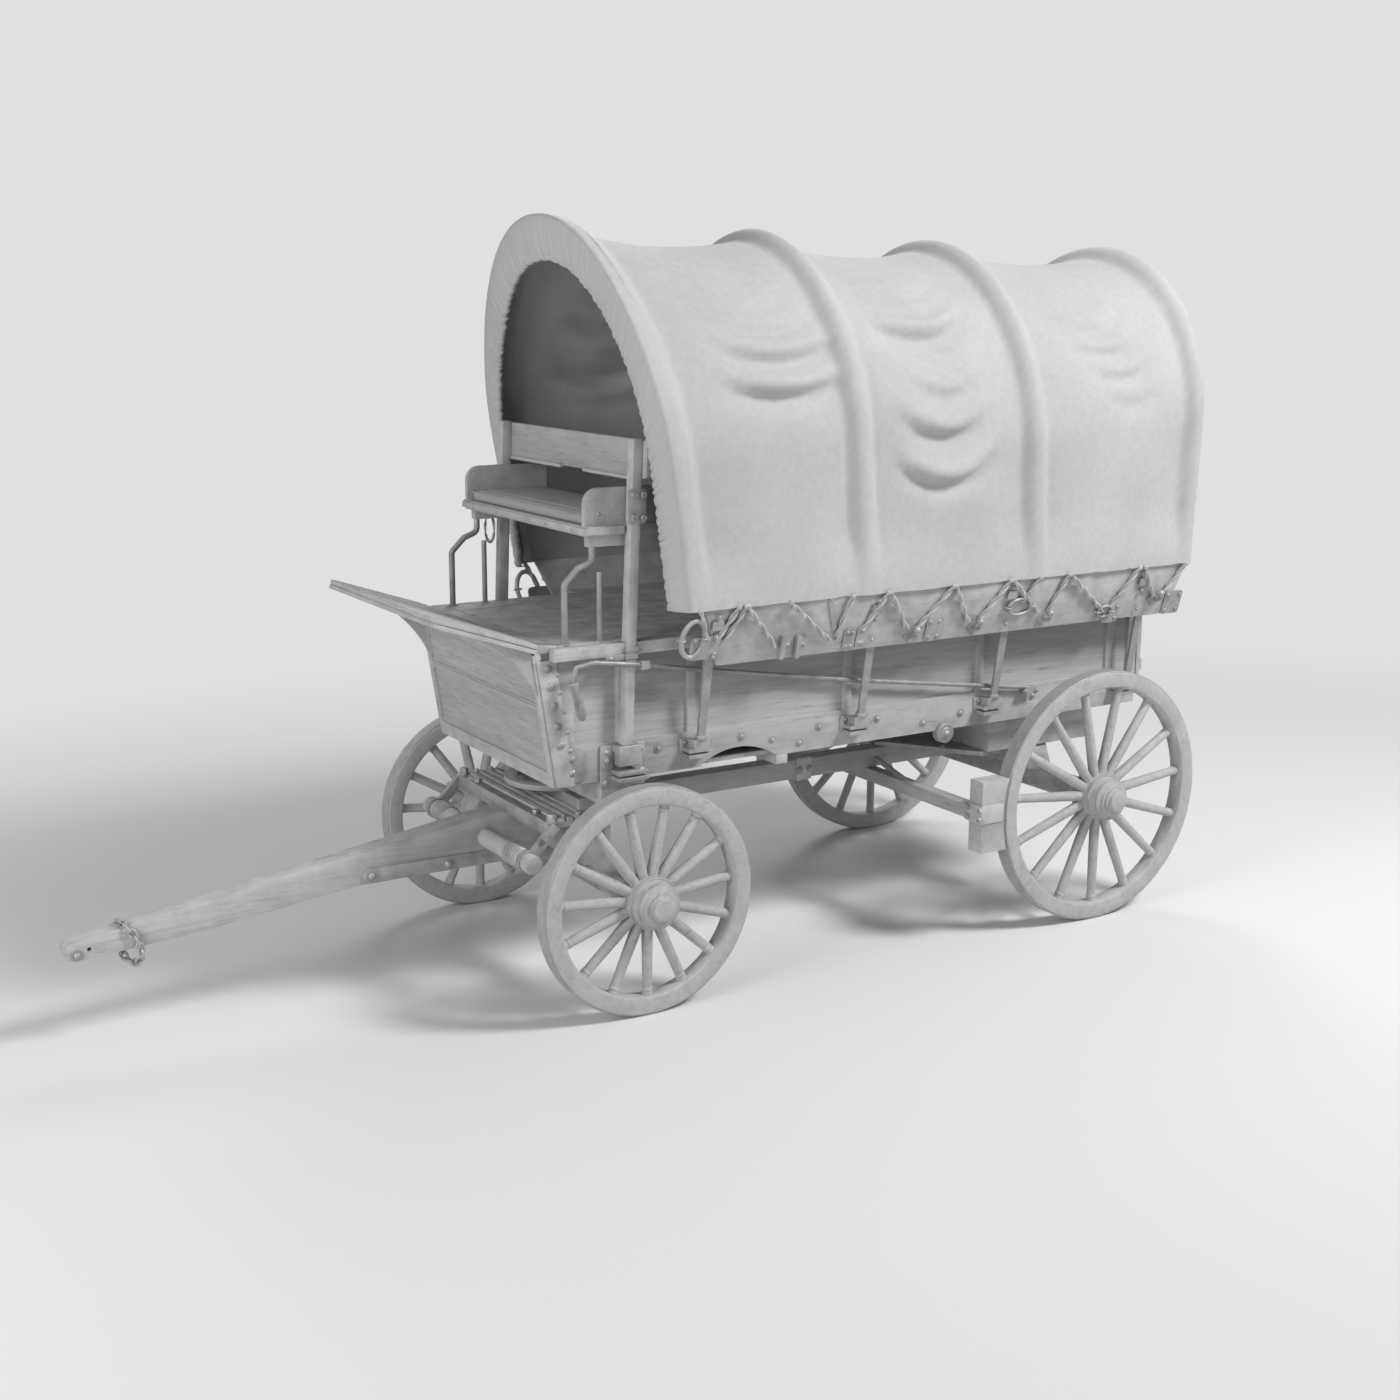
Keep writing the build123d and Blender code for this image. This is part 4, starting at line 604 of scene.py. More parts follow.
def tongue_half(station):
    """Half the tongue's width at a station."""
    share = (station - TONGUE_REAR) / (TONGUE_TAPER_END - TONGUE_REAR)
    return TONGUE_REAR_HALF + (TONGUE_TIP_HALF - TONGUE_REAR_HALF) * min(max(share, 0.0), 1.0)


nose, nose_height = (STRAP_HIGH - STRAP_LOW) / 2, (STRAP_HIGH + STRAP_LOW) / 2
outline = [(STRAP_REAR, STRAP_LOW), (STRAP_REAR, STRAP_HIGH)]
for k in range(9):
    angle = pi / 2 - pi * k / 8
    outline.append((STRAP_FRONT - nose + nose * cos(angle), nose_height + nose * sin(angle)))
shapes = []
for hand in (1, -1):
    points = []
    for out in (-STRAP_SUNK, STRAP_PROUD):
        points += [at(x, hand * (tongue_half(x) + out), z) for x, z in outline]
    shapes.append((points, skin(2, len(outline))))
joined("tongue_straps", shapes, "front_gear", radius=0.003)
TONGUE_BOLTS = (
    # station, height, stands on this much iron, relative size
    (2.226, 0.556, STRAP_PROUD, 1.0),
    (1.863, 0.556, STRAP_PROUD, 1.0),
    (3.490, 0.420, 0.0, 0.85),
)
rows = mirrored([(x, tongue_half(x) + out, z, OUT, size) for x, z, out, size in TONGUE_BOLTS])
heads("tongue_bolts", washer_tree, rows, 0.030, 0.020, body="front_gear")

LINK_PITCH, LINK_WIRE, CHAIN_SLACK = 0.036, 0.0062, 0.965
CHAIN_LOOP = (
    # station, y, z: over the tongue, down its left side, slack under it and up the right side
    (3.300, 0.000, 0.512),
    (3.292, 0.048, 0.512),
    (3.268, 0.068, 0.480),
    (3.244, 0.070, 0.430),
    (3.232, 0.062, 0.385),
    (3.240, 0.030, 0.340),
    (3.256, 0.000, 0.327),
    (3.280, -0.032, 0.342),
    (3.296, -0.062, 0.385),
    (3.302, -0.070, 0.430),
    (3.305, -0.068, 0.480),
    (3.304, -0.048, 0.512),
)


def link_tree():
    """A tree that sets forged links along a path, each turned a quarter from the last."""
    inputs = {"Path": "Geometry", "Links": 20, "Wire": 0.006, "Pitch": 0.04, "Material": "Material"}
    tree, given, end = group_tree("chain_links", "Geometry", inputs, {"Chain": "Geometry"})
    wire = given["Wire"]
    loop = add(tree, "GeometryNodeCurvePrimitiveCircle", Resolution=20, Radius=1.0)
    spot = add(tree, "ShaderNodeSeparateXYZ", Vector=add(tree, "GeometryNodeInputPosition")).outputs
    half_pitch = math(tree, "MULTIPLY", given["Pitch"], 0.5)
    half_long = math(tree, "ADD", half_pitch, math(tree, "MULTIPLY", wire, 1.1))
    half_wide = math(tree, "MULTIPLY", wire, 2.3)
    across = math(tree, "MULTIPLY", spot["Y"], half_wide)
    along = math(tree, "MULTIPLY", spot["X"], half_long)
    oval = add(tree, "ShaderNodeCombineXYZ", X=across, Z=along)
    line = add(tree, "GeometryNodeSetPosition", Geometry=loop, Position=oval)
    section = add(tree, "GeometryNodeCurvePrimitiveCircle", Resolution=8, Radius=wire)
    link = add(tree, "GeometryNodeCurveToMesh", Curve=line, Profile_Curve=section)
    count = [("mode", "COUNT")]
    spots = add(tree, "GeometryNodeCurveToPoints", count, Curve=given["Path"], Count=given["Links"])
    quarter = math(tree, "MULTIPLY", add(tree, "GeometryNodeInputIndex"), pi / 2)
    angle = math(tree, "ADD", quarter, 0.7)
    roll = add(tree, "FunctionNodeAxisAngleToRotation", Axis=UP, Angle=angle)
    local = [("rotation_space", "LOCAL")]
    facing = add(tree, "FunctionNodeRotateRotation", local, n0=spots.outputs["Rotation"], n1=roll)
    hung = add(tree, "GeometryNodeInstanceOnPoints", Points=spots, Instance=link, Rotation=facing)
    close_tree(tree, end, hung, given["Material"])
    return tree


def line_object(name, lines, kind, closed=False):
    """A curve object with one spline along each line of points."""
    curve = bpy.data.curves.new(name, "CURVE")
    curve.dimensions = "3D"
    for line in lines:
        spline = curve.splines.new(kind)
        spline.points.add(len(line) - 1)
        for point, place in zip(spline.points, line):
            point.co = (*place, 1.0)
        spline.order_u = 3
        spline.use_cyclic_u = closed
        spline.resolution_u = 12
    return placed(name, curve)


def made_from_path(name, path, tree, body, slot_name, angle, **values):
    """A mesh object made by a node tree from a curve object, which is then removed."""
    use_tree(path, tree, **values)
    data = evaluated(path)
    bpy.data.objects.remove(path)
    finished(placed(name, data), body, angle)


loop_points = [at(*p) for p in CHAIN_LOOP]
pairs = zip(loop_points, loop_points[1:] + loop_points[:1])
around = sum((Vector(a) - Vector(b)).length for a, b in pairs)
links = 2 * round(CHAIN_SLACK * around / LINK_PITCH / 2)
path = line_object("chain_path", [loop_points], "NURBS", True)
chain = {"Links": links, "Wire": LINK_WIRE, "Pitch": LINK_PITCH, "Material": iron}
made_from_path("tongue_chain", path, link_tree(), "front_gear", "forged_iron", 70, **chain)

# Wheels: fifteen turned spokes in a heavy felloe rim shod with an iron tyre, round a stepped
# hub with iron bands. Each spoke ends in a small shoulder against the rim.
SPOKES = 15
TYRE_THICK, TYRE_HALF, TYRE_SUNK, TYRE_SIDES = 0.006, 0.0395, 0.004, 96
RIM_DEPTH = 0.082
HUB_BANDS = (
    # along the hub from the rim's middle, radius, half width
    (-0.052, 0.1100, 0.007),
    (0.055, 0.1145, 0.007),
    (0.102, 0.1015, 0.007),
    (0.135, 0.0635, 0.005),
)
WHEELS = (
    # name, station, half the track, radius
    ("front", 1.278, 0.867, 0.512),
    ("rear", -1.278, 0.930, 0.635),
)
COLLAR = (
    # along the spoke from the rim's inside, radius
    (-0.034, 0.0208),
    (-0.031, 0.0232),
    (-0.020, 0.0236),
    (-0.017, 0.0216),
    (-0.010, 0.0238),
    (0.003, 0.0242),
)
WHEEL_LIGHT, WHEEL_DARK = (0.46, 0.455, 0.445), (0.37, 0.365, 0.36)
TYRE_LIGHT, TYRE_DARK = (0.42, 0.42, 0.425), (0.33, 0.33, 0.332)
felloe = wood("felloe", (3.0, 9.0, 3.0), WHEEL_LIGHT, WHEEL_DARK, 0.15)
spoke_wood = wood("spokes", (3.5, 9.0, 3.5), WHEEL_LIGHT, WHEEL_DARK, 0.12)
tyre_iron = textured(
    "tyre_iron", forged, TYRE_LIGHT, TYRE_DARK, bump=0.12, depth=0.002, metal=0.35
)
for name, station, track, radius in WHEELS:
    inside = radius - TYRE_THICK - TYRE_SUNK
    tyre_section = band_profile(TYRE_HALF, inside, radius - 0.002, radius)
    for hand, side in ((1, "left"), (-1, "right")):
        body = f"wheel_{name}_{side}"
        hub = Vector(at(station, hand * track, radius))

        def seat_tyre(work):
            """Sinks the rim's tread by the tyre's thickness."""
            for vertex in work.verts:
                away = Vector((vertex.co.x - hub.x, 0.0, vertex.co.z - hub.z))
                if away.length > radius - TYRE_SUNK:
                    vertex.co -= away.normalized() * TYRE_THICK

        worn(f"rim_{name}_{side}", felloe, 0.003, seat_tyre)
        worn(f"spokes_{name}_{side}", spoke_wood, 0.0035)
        points = []
        for along, out in tyre_section:
            for k in range(TYRE_SIDES):
                angle = 2 * pi * k / TYRE_SIDES
                points.append((hub.x + out * cos(angle), hub.y + along, hub.z + out * sin(angle)))
        tyre = (points, skin(len(tyre_section), TYRE_SIDES, True))
        joined(f"tyre_{name}_{side}", [tyre], body, tyre_iron)
        shapes = []
        for along, out, half in HUB_BANDS:
            section = band_profile(half, out - 0.006, out - 0.001, out + 0.0015)
            shapes.append(turned(hub + Vector((0, hand * along, 0)), (0, hand, 0), section, 48))
        joined(f"hub_bands_{name}_{side}", shapes, body, angle=45)
        shapes = []
        for k in range(SPOKES):
            angle = 2 * pi * k / SPOKES - pi / 2
            away = Vector((cos(angle), 0, sin(angle)))
            shapes.append(turned(hub + away * (radius - RIM_DEPTH), away, COLLAR, 16))
        joined(f"spoke_shoulders_{name}_{side}", shapes, body, spoke_wood, 50)

# Brake: a cross beam with hollowed shoes held off the rear wheels, and a jointed iron rod that
# runs forward along the left side to the hand lever by the seat.
worn("brake_beam", oak_y, 0.006)
worn("brake_rod", iron, 0.0)
shoe_bolts = [(-0.489, y, z, AHEAD, 1.0) for y in (0.885, 0.975) for z in (0.632, 0.680)]
heads("brake_bolts", nut_tree, mirrored(shoe_bolts), 0.015, 0.016, 6)
GRIP = (
    # along the lever from the grip's lower end, radius
    (0.0, 0.0195),
    (0.006, 0.0225),
    (0.05, 0.0215),
    (0.10, 0.0205),
    (0.145, 0.0215),
    (0.152, 0.0185),
)
GRIP_LIGHT, GRIP_DARK = (0.34, 0.335, 0.33), (0.2, 0.195, 0.19)
grip_wood = textured("lever_grip", grain, GRIP_LIGHT, GRIP_DARK, (6, 6, 2), 0.2)
lever_foot, lever_head = Vector(at(1.485, 0.676, 1.312)), Vector(at(1.525, 0.676, 1.465))
grip = turned(lever_foot, lever_head - lever_foot, GRIP, 24)
joined("lever_grip", [grip], material=grip_wood)
ROD_BOLTS = (
    # station, y, z
    (1.18, 0.668, 1.507),
    (-1.035, 0.646, 1.139),
    (-1.105, 0.646, 1.139),
)
heads("rod_bolts", washer_tree, [(at(*place), OUT, 1.0) for place in ROD_BOLTS], 0.015, 0.012)

# Box: two raked sides on deep sills, a framed front panel and a plank floor. The sides are
# bolted through to the bearers, the corners are shod with iron straps.
BOX_HALF = 0.600
STRAP_OUT = BOX_HALF + 0.008
SIDE_LIGHT, SIDE_DARK = (0.43, 0.425, 0.415), (0.355, 0.35, 0.342)
oak_side = wood("side_oak", (0.6, 6.0, 9.0), SIDE_LIGHT, SIDE_DARK, 0.15)
worn("side_left", oak_side, 0.0035)
worn("side_right", oak_side, 0.0035)
worn("front_panel", oak_y, 0.0040)
worn("box_floor", oak_x, 0.0030)
SILL_BOLTS = (
    # station, height, relative size; the last two go through the corner's gusset plate
    (1.068, 1.103, 1.0),
    (0.630, 1.103, 1.0),
    (0.460, 1.068, 0.9),
    (0.308, 1.034, 1.0),
    (0.196, 1.097, 1.0),
    (-0.143, 1.096, 1.0),
    (-0.423, 1.042, 1.0),
    (-0.654, 1.065, 1.0),
    (-1.120, 1.100, 1.0),
    (-1.480, 1.060, 1.0),
    (-1.760, 1.100, 1.0),
    (1.497, 1.112, 1.25),
    (1.497, 1.050, 1.25),
)
CORNER_RIVETS = (
    # station, height
    (1.610, 1.520),
    (1.597, 1.441),
    (1.582, 1.356),
    (1.567, 1.263),
    (1.553, 1.180),
)
rows = mirrored([(x, BOX_HALF, z, OUT, size) for x, z, size in SILL_BOLTS])
heads("sill_bolts", washer_tree, rows, 0.021, 0.014)
rivets = []
for x, z in CORNER_RIVETS:
    rivets += [(x, STRAP_OUT, z, OUT, 1.0), (x - 0.046, STRAP_OUT, z - 0.030, OUT, 0.6)]
heads("corner_rivets", dome_tree, mirrored(rivets), 0.018, 0.012)

# Small irons on each side of the box: a gusset plate at the front lower corner, a roller under
# the sill and, a little behind the gusset, a plate with one bolt.
PLATE_SUNK = 0.003
ROLLER = (
    # out from the sill, radius
    (0, 0.050),
    (0.040, 0.050),
    (0.044, 0.046),
    (0.044, 0.030),
    (0.048, 0.027),
    (0.048, 0.010),
)
BOX_PLATE_BOLTS = (
    # station, out, height, direction, relative size
    (-0.548, 0.633, 0.979, OUT, 0.9),
    (1.330, BOX_HALF + 0.018, 1.085, OUT, 0.9),
)


def corner_ring(width, height, radius, steps=4):
    """Points round a rectangle with rounded corners, from its middle."""
    ring = []
    for x_hand, y_hand, quarter in ((1, 1, 0), (-1, 1, 1), (-1, -1, 2), (1, -1, 3)):
        for k in range(steps + 1):
            angle = pi / 2 * (quarter + k / steps)
            x = x_hand * (width / 2 - radius) + radius * cos(angle)
            ring.append((x, y_hand * (height / 2 - radius) + radius * sin(angle)))
    return ring


def plate(place, across, up, out, width, height, thick, corner=0.25):
    """Points and faces of a flat forged plate with rounded corners, square to out."""
    across, up, out = [Vector(way).normalized() for way in (across, up, out)]
    ring = corner_ring(width, height, corner * min(width, height))
    points = []
    for level in (-PLATE_SUNK, thick):
        points += [Vector(place) + across * u + up * v + out * level for u, v in ring]
    return points, skin(2, len(ring))


def side_plate(station, y, z, hand, width, height, thick, corner=0.25):
    """A plate on the wagon's side, upright and facing out."""
    place = at(station, hand * y, z)
    return plate(place, AHEAD, UP, (0, hand, 0), width, height, thick, corner)


shapes = []
for hand in (1, -1):
    shapes.append(side_plate(1.490, BOX_HALF, 1.078, hand, 0.120, 0.150, 0.007))
    shapes.append(turned(at(-0.548, hand * 0.585, 0.979), (0, hand, 0), ROLLER, 28))
    shapes.append(side_plate(1.330, BOX_HALF + 0.012, 1.085, hand, 0.050, 0.085, 0.007))
joined("box_plates", shapes, radius=0.0015)
heads("box_plate_bolts", dome_tree, mirrored(BOX_PLATE_BOLTS), 0.018, 0.013)

# Tailgate: battened boards hung on two pin hinges, each with a long strap riveted up the boards.
# It drops to the rear, clear of the wheels.
worn("tailgate", oak_y, 0.0035)
worn("gate_hinges", iron, 0.0015)
rows = []
for y in (-0.380, 0.380):
    rows += [(at(-1.870, y, 1.048 + up), BACK, 0.9) for up in (0.090, 0.170, 0.250, 0.310)]
for z in (1.186, 1.495):
    rows += [(at(-1.878, y, z), BACK, 0.8) for y in (-0.53, -0.27, 0.27, 0.53)]
heads("gate_rivets", dome_tree, rows, 0.014, 0.009, body="tailgate")

# Deck and toe board: oak planks nailed across the bearers, a cross board ahead of them and a
# sloping footboard on two curved brackets.
PLANK, PLANKS, NAIL_OUT = 0.171, 7, 0.055
NAILED = (1.545, 1.205, 0.60, 0.0, -0.60, -1.20, -1.77)
DECK_LIGHT, DECK_DARK = (0.44, 0.435, 0.425), (0.31, 0.305, 0.30)
worn("deck", wood("deck_oak", (0.8, 7.0, 9.0), DECK_LIGHT, DECK_DARK), 0.0028)
worn("toe_board", oak_y, 0.0040)
rows = []
for station in NAILED:
    for plank in range(PLANKS):
        for side in (-NAIL_OUT, NAIL_OUT):
            y = -BOX_HALF + PLANK * (plank + 0.5) + side
            if abs(y) < BOX_HALF - 0.01:
                rows.append((at(station, y, 1.610), UP, 1.0))
heads("deck_nails", dome_tree, rows, 0.0065, 0.003, 8)

# Seat: two leaning posts in iron sockets carry the back rail and the board between them. The
# board has a rounded end panel on each side, cleats below, and stands on bent iron rods.
oak_z = wood("oak_along_z", (9.0, 9.0, 0.9))
for side in ("left", "right"):
    worn(f"seat_post_{side}", oak_z, 0.005)
    worn(f"post_socket_{side}", iron, 0.003)
    worn(f"seat_irons_{side}", iron, 0.0)
worn("seat_board", oak_y, 0.0050)
worn("seat_back", oak_y, 0.0050)
POST_IN, POST_OUT = 0.612, 0.662
POST_FOOT_STATION, POST_FOOT_HEIGHT, POST_LEAN = 1.252, 1.152, 0.055 / 1.323
CLAMP_HEIGHT = 1.545


def post_station(height):
    """Middle of the leaning post at a height."""
    return POST_FOOT_STATION - POST_LEAN * (height - POST_FOOT_HEIGHT)


SEAT_BOLTS = (
    # station, out, height, direction, relative size
    (1.165, 0.612, 0.985, OUT, 1.0),
    (1.338, 0.612, 0.985, OUT, 1.0),
    (1.165, 0.612, 1.120, OUT, 1.0),
    (1.338, 0.612, 1.120, OUT, 1.0),
    (1.190, 0.664, 1.0415, UP, 0.9),
    (post_station(CLAMP_HEIGHT) + 0.100, 0.661, CLAMP_HEIGHT, OUT, 0.8),
    (1.06, 0.604, 2.16, OUT, 0.55),
    (1.36, 0.604, 2.16, OUT, 0.55),
)
BACK_NUTS = (
    # station, height
    (1.225, 2.241),
    (1.181, 2.239),
    (1.226, 2.144),
    (1.182, 2.141),
)
CLAMP = (
    # along from the post's middle, out from its inner face
    (-0.031, -0.002),
    (0.031, -0.002),
    (0.031, 0.056),
    (-0.031, 0.056),
)
shapes = []
for hand in (1, -1):
    for height in (1.004, 1.032):
        shapes.append(side_plate(1.236, 0.612, height, hand, 0.150, 0.019, 0.074, 0.3))
    station = post_station(2.19) - 0.004
    shapes.append(side_plate(station, POST_OUT, 2.190, hand, 0.088, 0.150, 0.006, 0.12))
    for height in (1.512, CLAMP_HEIGHT, 1.578):
        middle = post_station(height)
        ring = [(middle + x, hand * (POST_IN + y)) for x, y in CLAMP]
        points = [at(x, y, height + lift) for lift in (-0.011, 0.011) for x, y in ring]
        shapes.append((points, skin(2, len(ring))))
    station = post_station(CLAMP_HEIGHT) + 0.075
    shapes.append(side_plate(station, 0.655, CLAMP_HEIGHT, hand, 0.095, 0.030, 0.006, 0.3))
joined("post_irons", shapes, radius=0.002)
heads("seat_bolts", dome_tree, mirrored(SEAT_BOLTS), 0.015, 0.012)
rows = mirrored([(x, POST_OUT + 0.006, z, OUT, 1.0) for x, z in BACK_NUTS])
heads("seat_nuts", nut_tree, rows, 0.0155, 0.017, 6)
rows = mirrored([(post_station(z) - 0.055, 0.637, z, BACK, 1.0) for z in (2.345, 2.44)])
rows += [(at(1.433, y, 2.088), AHEAD, 0.55) for y in (-0.5, -0.25, 0.25, 0.5)]
heads("back_bolts", dome_tree, rows, 0.014, 0.009)

# Rope ring: a short loop of two-ply hemp hung on the right end of the seat, to tie the reins to.
# The same rope laces the cover down.
HEMP_LIGHT, HEMP_DARK = (0.56, 0.555, 0.54), (0.44, 0.435, 0.425)
STRAND_APART, STRAND_SIDES = 0.86, 6
laid_hemp, given, end = group_tree("laid_hemp", "Shader", FINISH_INPUTS, FINISH_OUTPUTS)
fuzz = ramp(laid_hemp, noise(laid_hemp, given["Vector"], 90.0, 4.0, 0.7), 0.35, 0.65)
soil = ramp(laid_hemp, noise(laid_hemp, given["Vector"], 7.0, 3.0, 0.6), 0.3, 0.7)
yarn = mix(laid_hemp, "MIX", soil, given["Dark"], given["Light"])
feed(
    laid_hemp,
    end,
    Color=mix(laid_hemp, "MULTIPLY", 0.25, yarn, fuzz),
    Height=fuzz,
    Roughness=ramp(laid_hemp, fuzz, 0, 1, 0.95, 0.82),
)
hemp = textured("hemp", laid_hemp, HEMP_LIGHT, HEMP_DARK, bump=0.4, depth=0.001)


def laid_rope():
    """A tree that lays two strands round each other along a path."""
    inputs = {"Path": "Geometry", "Strand": 0.003, "Turns per metre": 6.0, "Step": 0.008}
    inputs["Material"] = "Material"
    tree, given, end = group_tree("laid_rope", "Geometry", inputs, {"Rope": "Geometry"})
    line = add(tree, "GeometryNodeResampleCurve", [("mode", "LENGTH")], Curve=given["Path"])
    feed(tree, line, Length=given["Step"])
    run = add(tree, "GeometryNodeSplineParameter").outputs["Length"]
    turns = math(tree, "MULTIPLY", run, given["Turns per metre"])
    twist = math(tree, "MULTIPLY", turns, 2 * pi)
    laid = add(tree, "GeometryNodeSetCurveTilt", Curve=line, Tilt=twist)
    strands = add(tree, "GeometryNodeJoinGeometry")
    for hand in (1, -1):
        size = {"Resolution": STRAND_SIDES, "Radius": given["Strand"]}
        strand = add(tree, "GeometryNodeCurvePrimitiveCircle", **size)
        off = math(tree, "MULTIPLY", given["Strand"], STRAND_APART * hand)
        shift = add(tree, "ShaderNodeCombineXYZ", X=off)
        moved = add(tree, "GeometryNodeSetPosition", Geometry=strand, Offset=shift)
        feed(tree, strands, n0=moved)
    rope = add(tree, "GeometryNodeCurveToMesh", Curve=laid, Profile_Curve=strands, Fill_Caps=True)
    close_tree(tree, end, rope, given["Material"])
    return tree


rope_tree = laid_rope()
loop_points = []
for k in range(10):
    angle = k * pi / 5
    y, z = -0.615 - 0.028 * cos(angle), 1.965 + 0.070 * sin(angle)
    loop_points.append(at(1.30 + 0.012 * cos(angle), y, z))
path = line_object("rein_path", [loop_points], "NURBS", True)
made_from_path("rein_ring", path, rope_tree, "wagon", "canvas", 60, Strand=0.0042, Material=hemp)

# Seat cushion: a stuffed pad in heavy cloth, swelled by pressure, with a rolled nose sewn off
# by a seam along the front and piping round its upper edge.
CLOTH_LIGHT, CLOTH_DARK = (0.42, 0.415, 0.405), (0.34, 0.335, 0.325)
VOXEL, CLOTH_STEPS = 0.0075, 20
PUFF, CAP = 0.007, 0.009
NOSE_SEAM, NOSE_SEAM_DEPTH, NOSE_SEAM_HALF = 0.062, 0.006, 0.008
CROSS_SEAMS, CROSS_SEAM_DEPTH, CROSS_SEAM_HALF = (-0.30, 0.05, 0.36), 0.0035, 0.009
WAIST = 0.004
PIPING_IN, PIPING_DOWN, PIPING_CORNER = 0.010, 0.011, 0.014
PIPING_RADIUS, PIPING_STEP = 0.0035, 0.03
weave, given, end = group_tree("weave", "Shader", FINISH_INPUTS, FINISH_OUTPUTS)
vector = given["Vector"]
threads = []
for way in ("X", "Y"):
    wave = add(weave, "ShaderNodeTexWave", [("bands_direction", way)], Vector=vector, Scale=55.0)
    threads.append(feed(weave, wave, Distortion=0.7, Detail=1.0).outputs["Fac"])
slubs = ramp(weave, noise(weave, vector, 26.0, 4.0, 0.6), 0.35, 0.65)
stains = ramp(weave, noise(weave, vector, 1.1, 6.0, 0.62, 0.6), 0.28, 0.62)
cloth = mix(weave, "MIX", stains, given["Dark"], given["Light"])
feed(
    weave,
    end,
    Color=mix(weave, "MULTIPLY", 0.08, cloth, slubs),
    Height=math(weave, "ADD", math(weave, "MULTIPLY", *threads), slubs),
    Roughness=ramp(weave, stains, 0, 1, 0.92, 0.78),
)
seat_cloth = textured("seat_cloth", weave, CLOTH_LIGHT, CLOTH_DARK, bump=0.25, depth=0.0015)


def mesh_points(obj):
    """A mesh object's points, one row each."""
    flat = np.empty(3 * len(obj.data.vertices))
    obj.data.vertices.foreach_get("co", flat)
    return flat.reshape(-1, 3)


def dent(distance, half):
    """1 at a line, falling softly to 0 a few half widths away from it."""
    return np.exp(-((distance / half) ** 2))


low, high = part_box("seat_cushion")
start, stop = low + Vector((0.006, 0.004, 0.001)), high - Vector((0.004, 0.004, 0.010))
bpy.ops.mesh.primitive_cube_add()
cushion = bpy.context.object
cushion.name = cushion.data.name = "seat_pad"
for vertex in cushion.data.vertices:
    for axis in range(3):
        vertex.co[axis] = start[axis] if vertex.co[axis] < 0 else stop[axis]
cushion.matrix_world = Matrix.Identity(4)
edges = cushion.modifiers.new("edges", "BEVEL")
edges.width = 0.020
edges.segments = 4
remesh = cushion.modifiers.new("even", "REMESH")
remesh.mode = "VOXEL"
remesh.voxel_size = VOXEL
settle(cushion)
before = mesh_points(cushion)
swelling = cushion.modifiers.new("swelling", "CLOTH")
swelling.settings.quality = 4
swelling.settings.mass = 0.3
swelling.settings.use_pressure = True
swelling.settings.uniform_pressure_force = 4.0
swelling.settings.effector_weights.gravity = 0.0
swelling.point_cache.frame_start = 1
swelling.point_cache.frame_end = CLOTH_STEPS
for step in range(1, CLOTH_STEPS + 1):
    scene.frame_set(step)
settle(cushion)
scene.frame_set(1)
moved = mesh_points(cushion) - before
travel = np.linalg.norm(moved, axis=1)
after = before + moved * (np.minimum(travel, CAP) / np.maximum(travel, 1e-9))[:, None]
share = (after - np.array(low)) / (np.array(high) - np.array(low))
top = np.clip((share[:, 2] - 0.45) / 0.35, 0, 1)
crown = np.sin(pi * np.clip(share[:, 0], 0, 1)) * np.sin(pi * np.clip(share[:, 1], 0, 1))
after[:, 2] += PUFF * top * np.clip(crown, 0, 1) ** 0.4
from_nose = high.x - after[:, 0]
after[:, 2] -= NOSE_SEAM_DEPTH * top * dent(from_nose - NOSE_SEAM, NOSE_SEAM_HALF)
for seam in CROSS_SEAMS:
    groove = dent(after[:, 1] - seam, CROSS_SEAM_HALF)
    after[:, 2] -= CROSS_SEAM_DEPTH * top * groove * (from_nose > NOSE_SEAM)
side = share[:, 0] - 0.5
after[:, 0] -= WAIST * dent(share[:, 2] - 0.30, 0.22) * np.sign(side) * (np.abs(side) > 0.42)
after[:, 2] = np.clip(after[:, 2], low.z + 0.0005, high.z + 0.004)
cushion.data.vertices.foreach_set("co", after.ravel())
smooth = cushion.modifiers.new("smooth", "SUBSURF")
smooth.levels = smooth.render_levels = 1
settle(cushion)
cushion.data.materials.clear()
cushion.data.materials.append(seat_cloth)
finished(cushion, "wagon", 75)
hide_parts("seat_cushion")


def tube(points, radius, sides=8, closed=False):
    """Points and faces of a round tube along a line of points."""
    line = np.array(points, float)
    if closed:
        ahead = np.roll(line, -1, axis=0) - np.roll(line, 1, axis=0)
    else:
        ahead = np.gradient(line, axis=0)
    ahead /= np.linalg.norm(ahead, axis=1)[:, None]
    ring_points = []
    guide = np.array([0.123, 0.456, 0.881])
    for place, way in zip(line, ahead):
        side = np.cross(way, guide)
        side /= np.linalg.norm(side)
        other = np.cross(way, side)
        for k in range(sides):
            angle = 2 * pi * k / sides
            ring_points.append(place + radius * (cos(angle) * side + sin(angle) * other))
    return ring_points, skin(len(line), sides, closed)


middle = (Vector(low) + Vector(high)) / 2
width, depth = [high[axis] - low[axis] - 2 * PIPING_IN for axis in (0, 1)]
ring = corner_ring(width, depth, PIPING_CORNER)
piping = [Vector((middle.x + x, middle.y + y, high.z - PIPING_DOWN)) for x, y in ring]
dense = []
for a, b in zip(piping, piping[1:] + piping[:1]):
    steps = max(1, round((b - a).length / PIPING_STEP))
    dense += [tuple(a.lerp(b, k / steps)) for k in range(steps)]
cord = tube(dense, PIPING_RADIUS, 8, True)
joined("seat_piping", [cord], material=seat_cloth, angle=60)

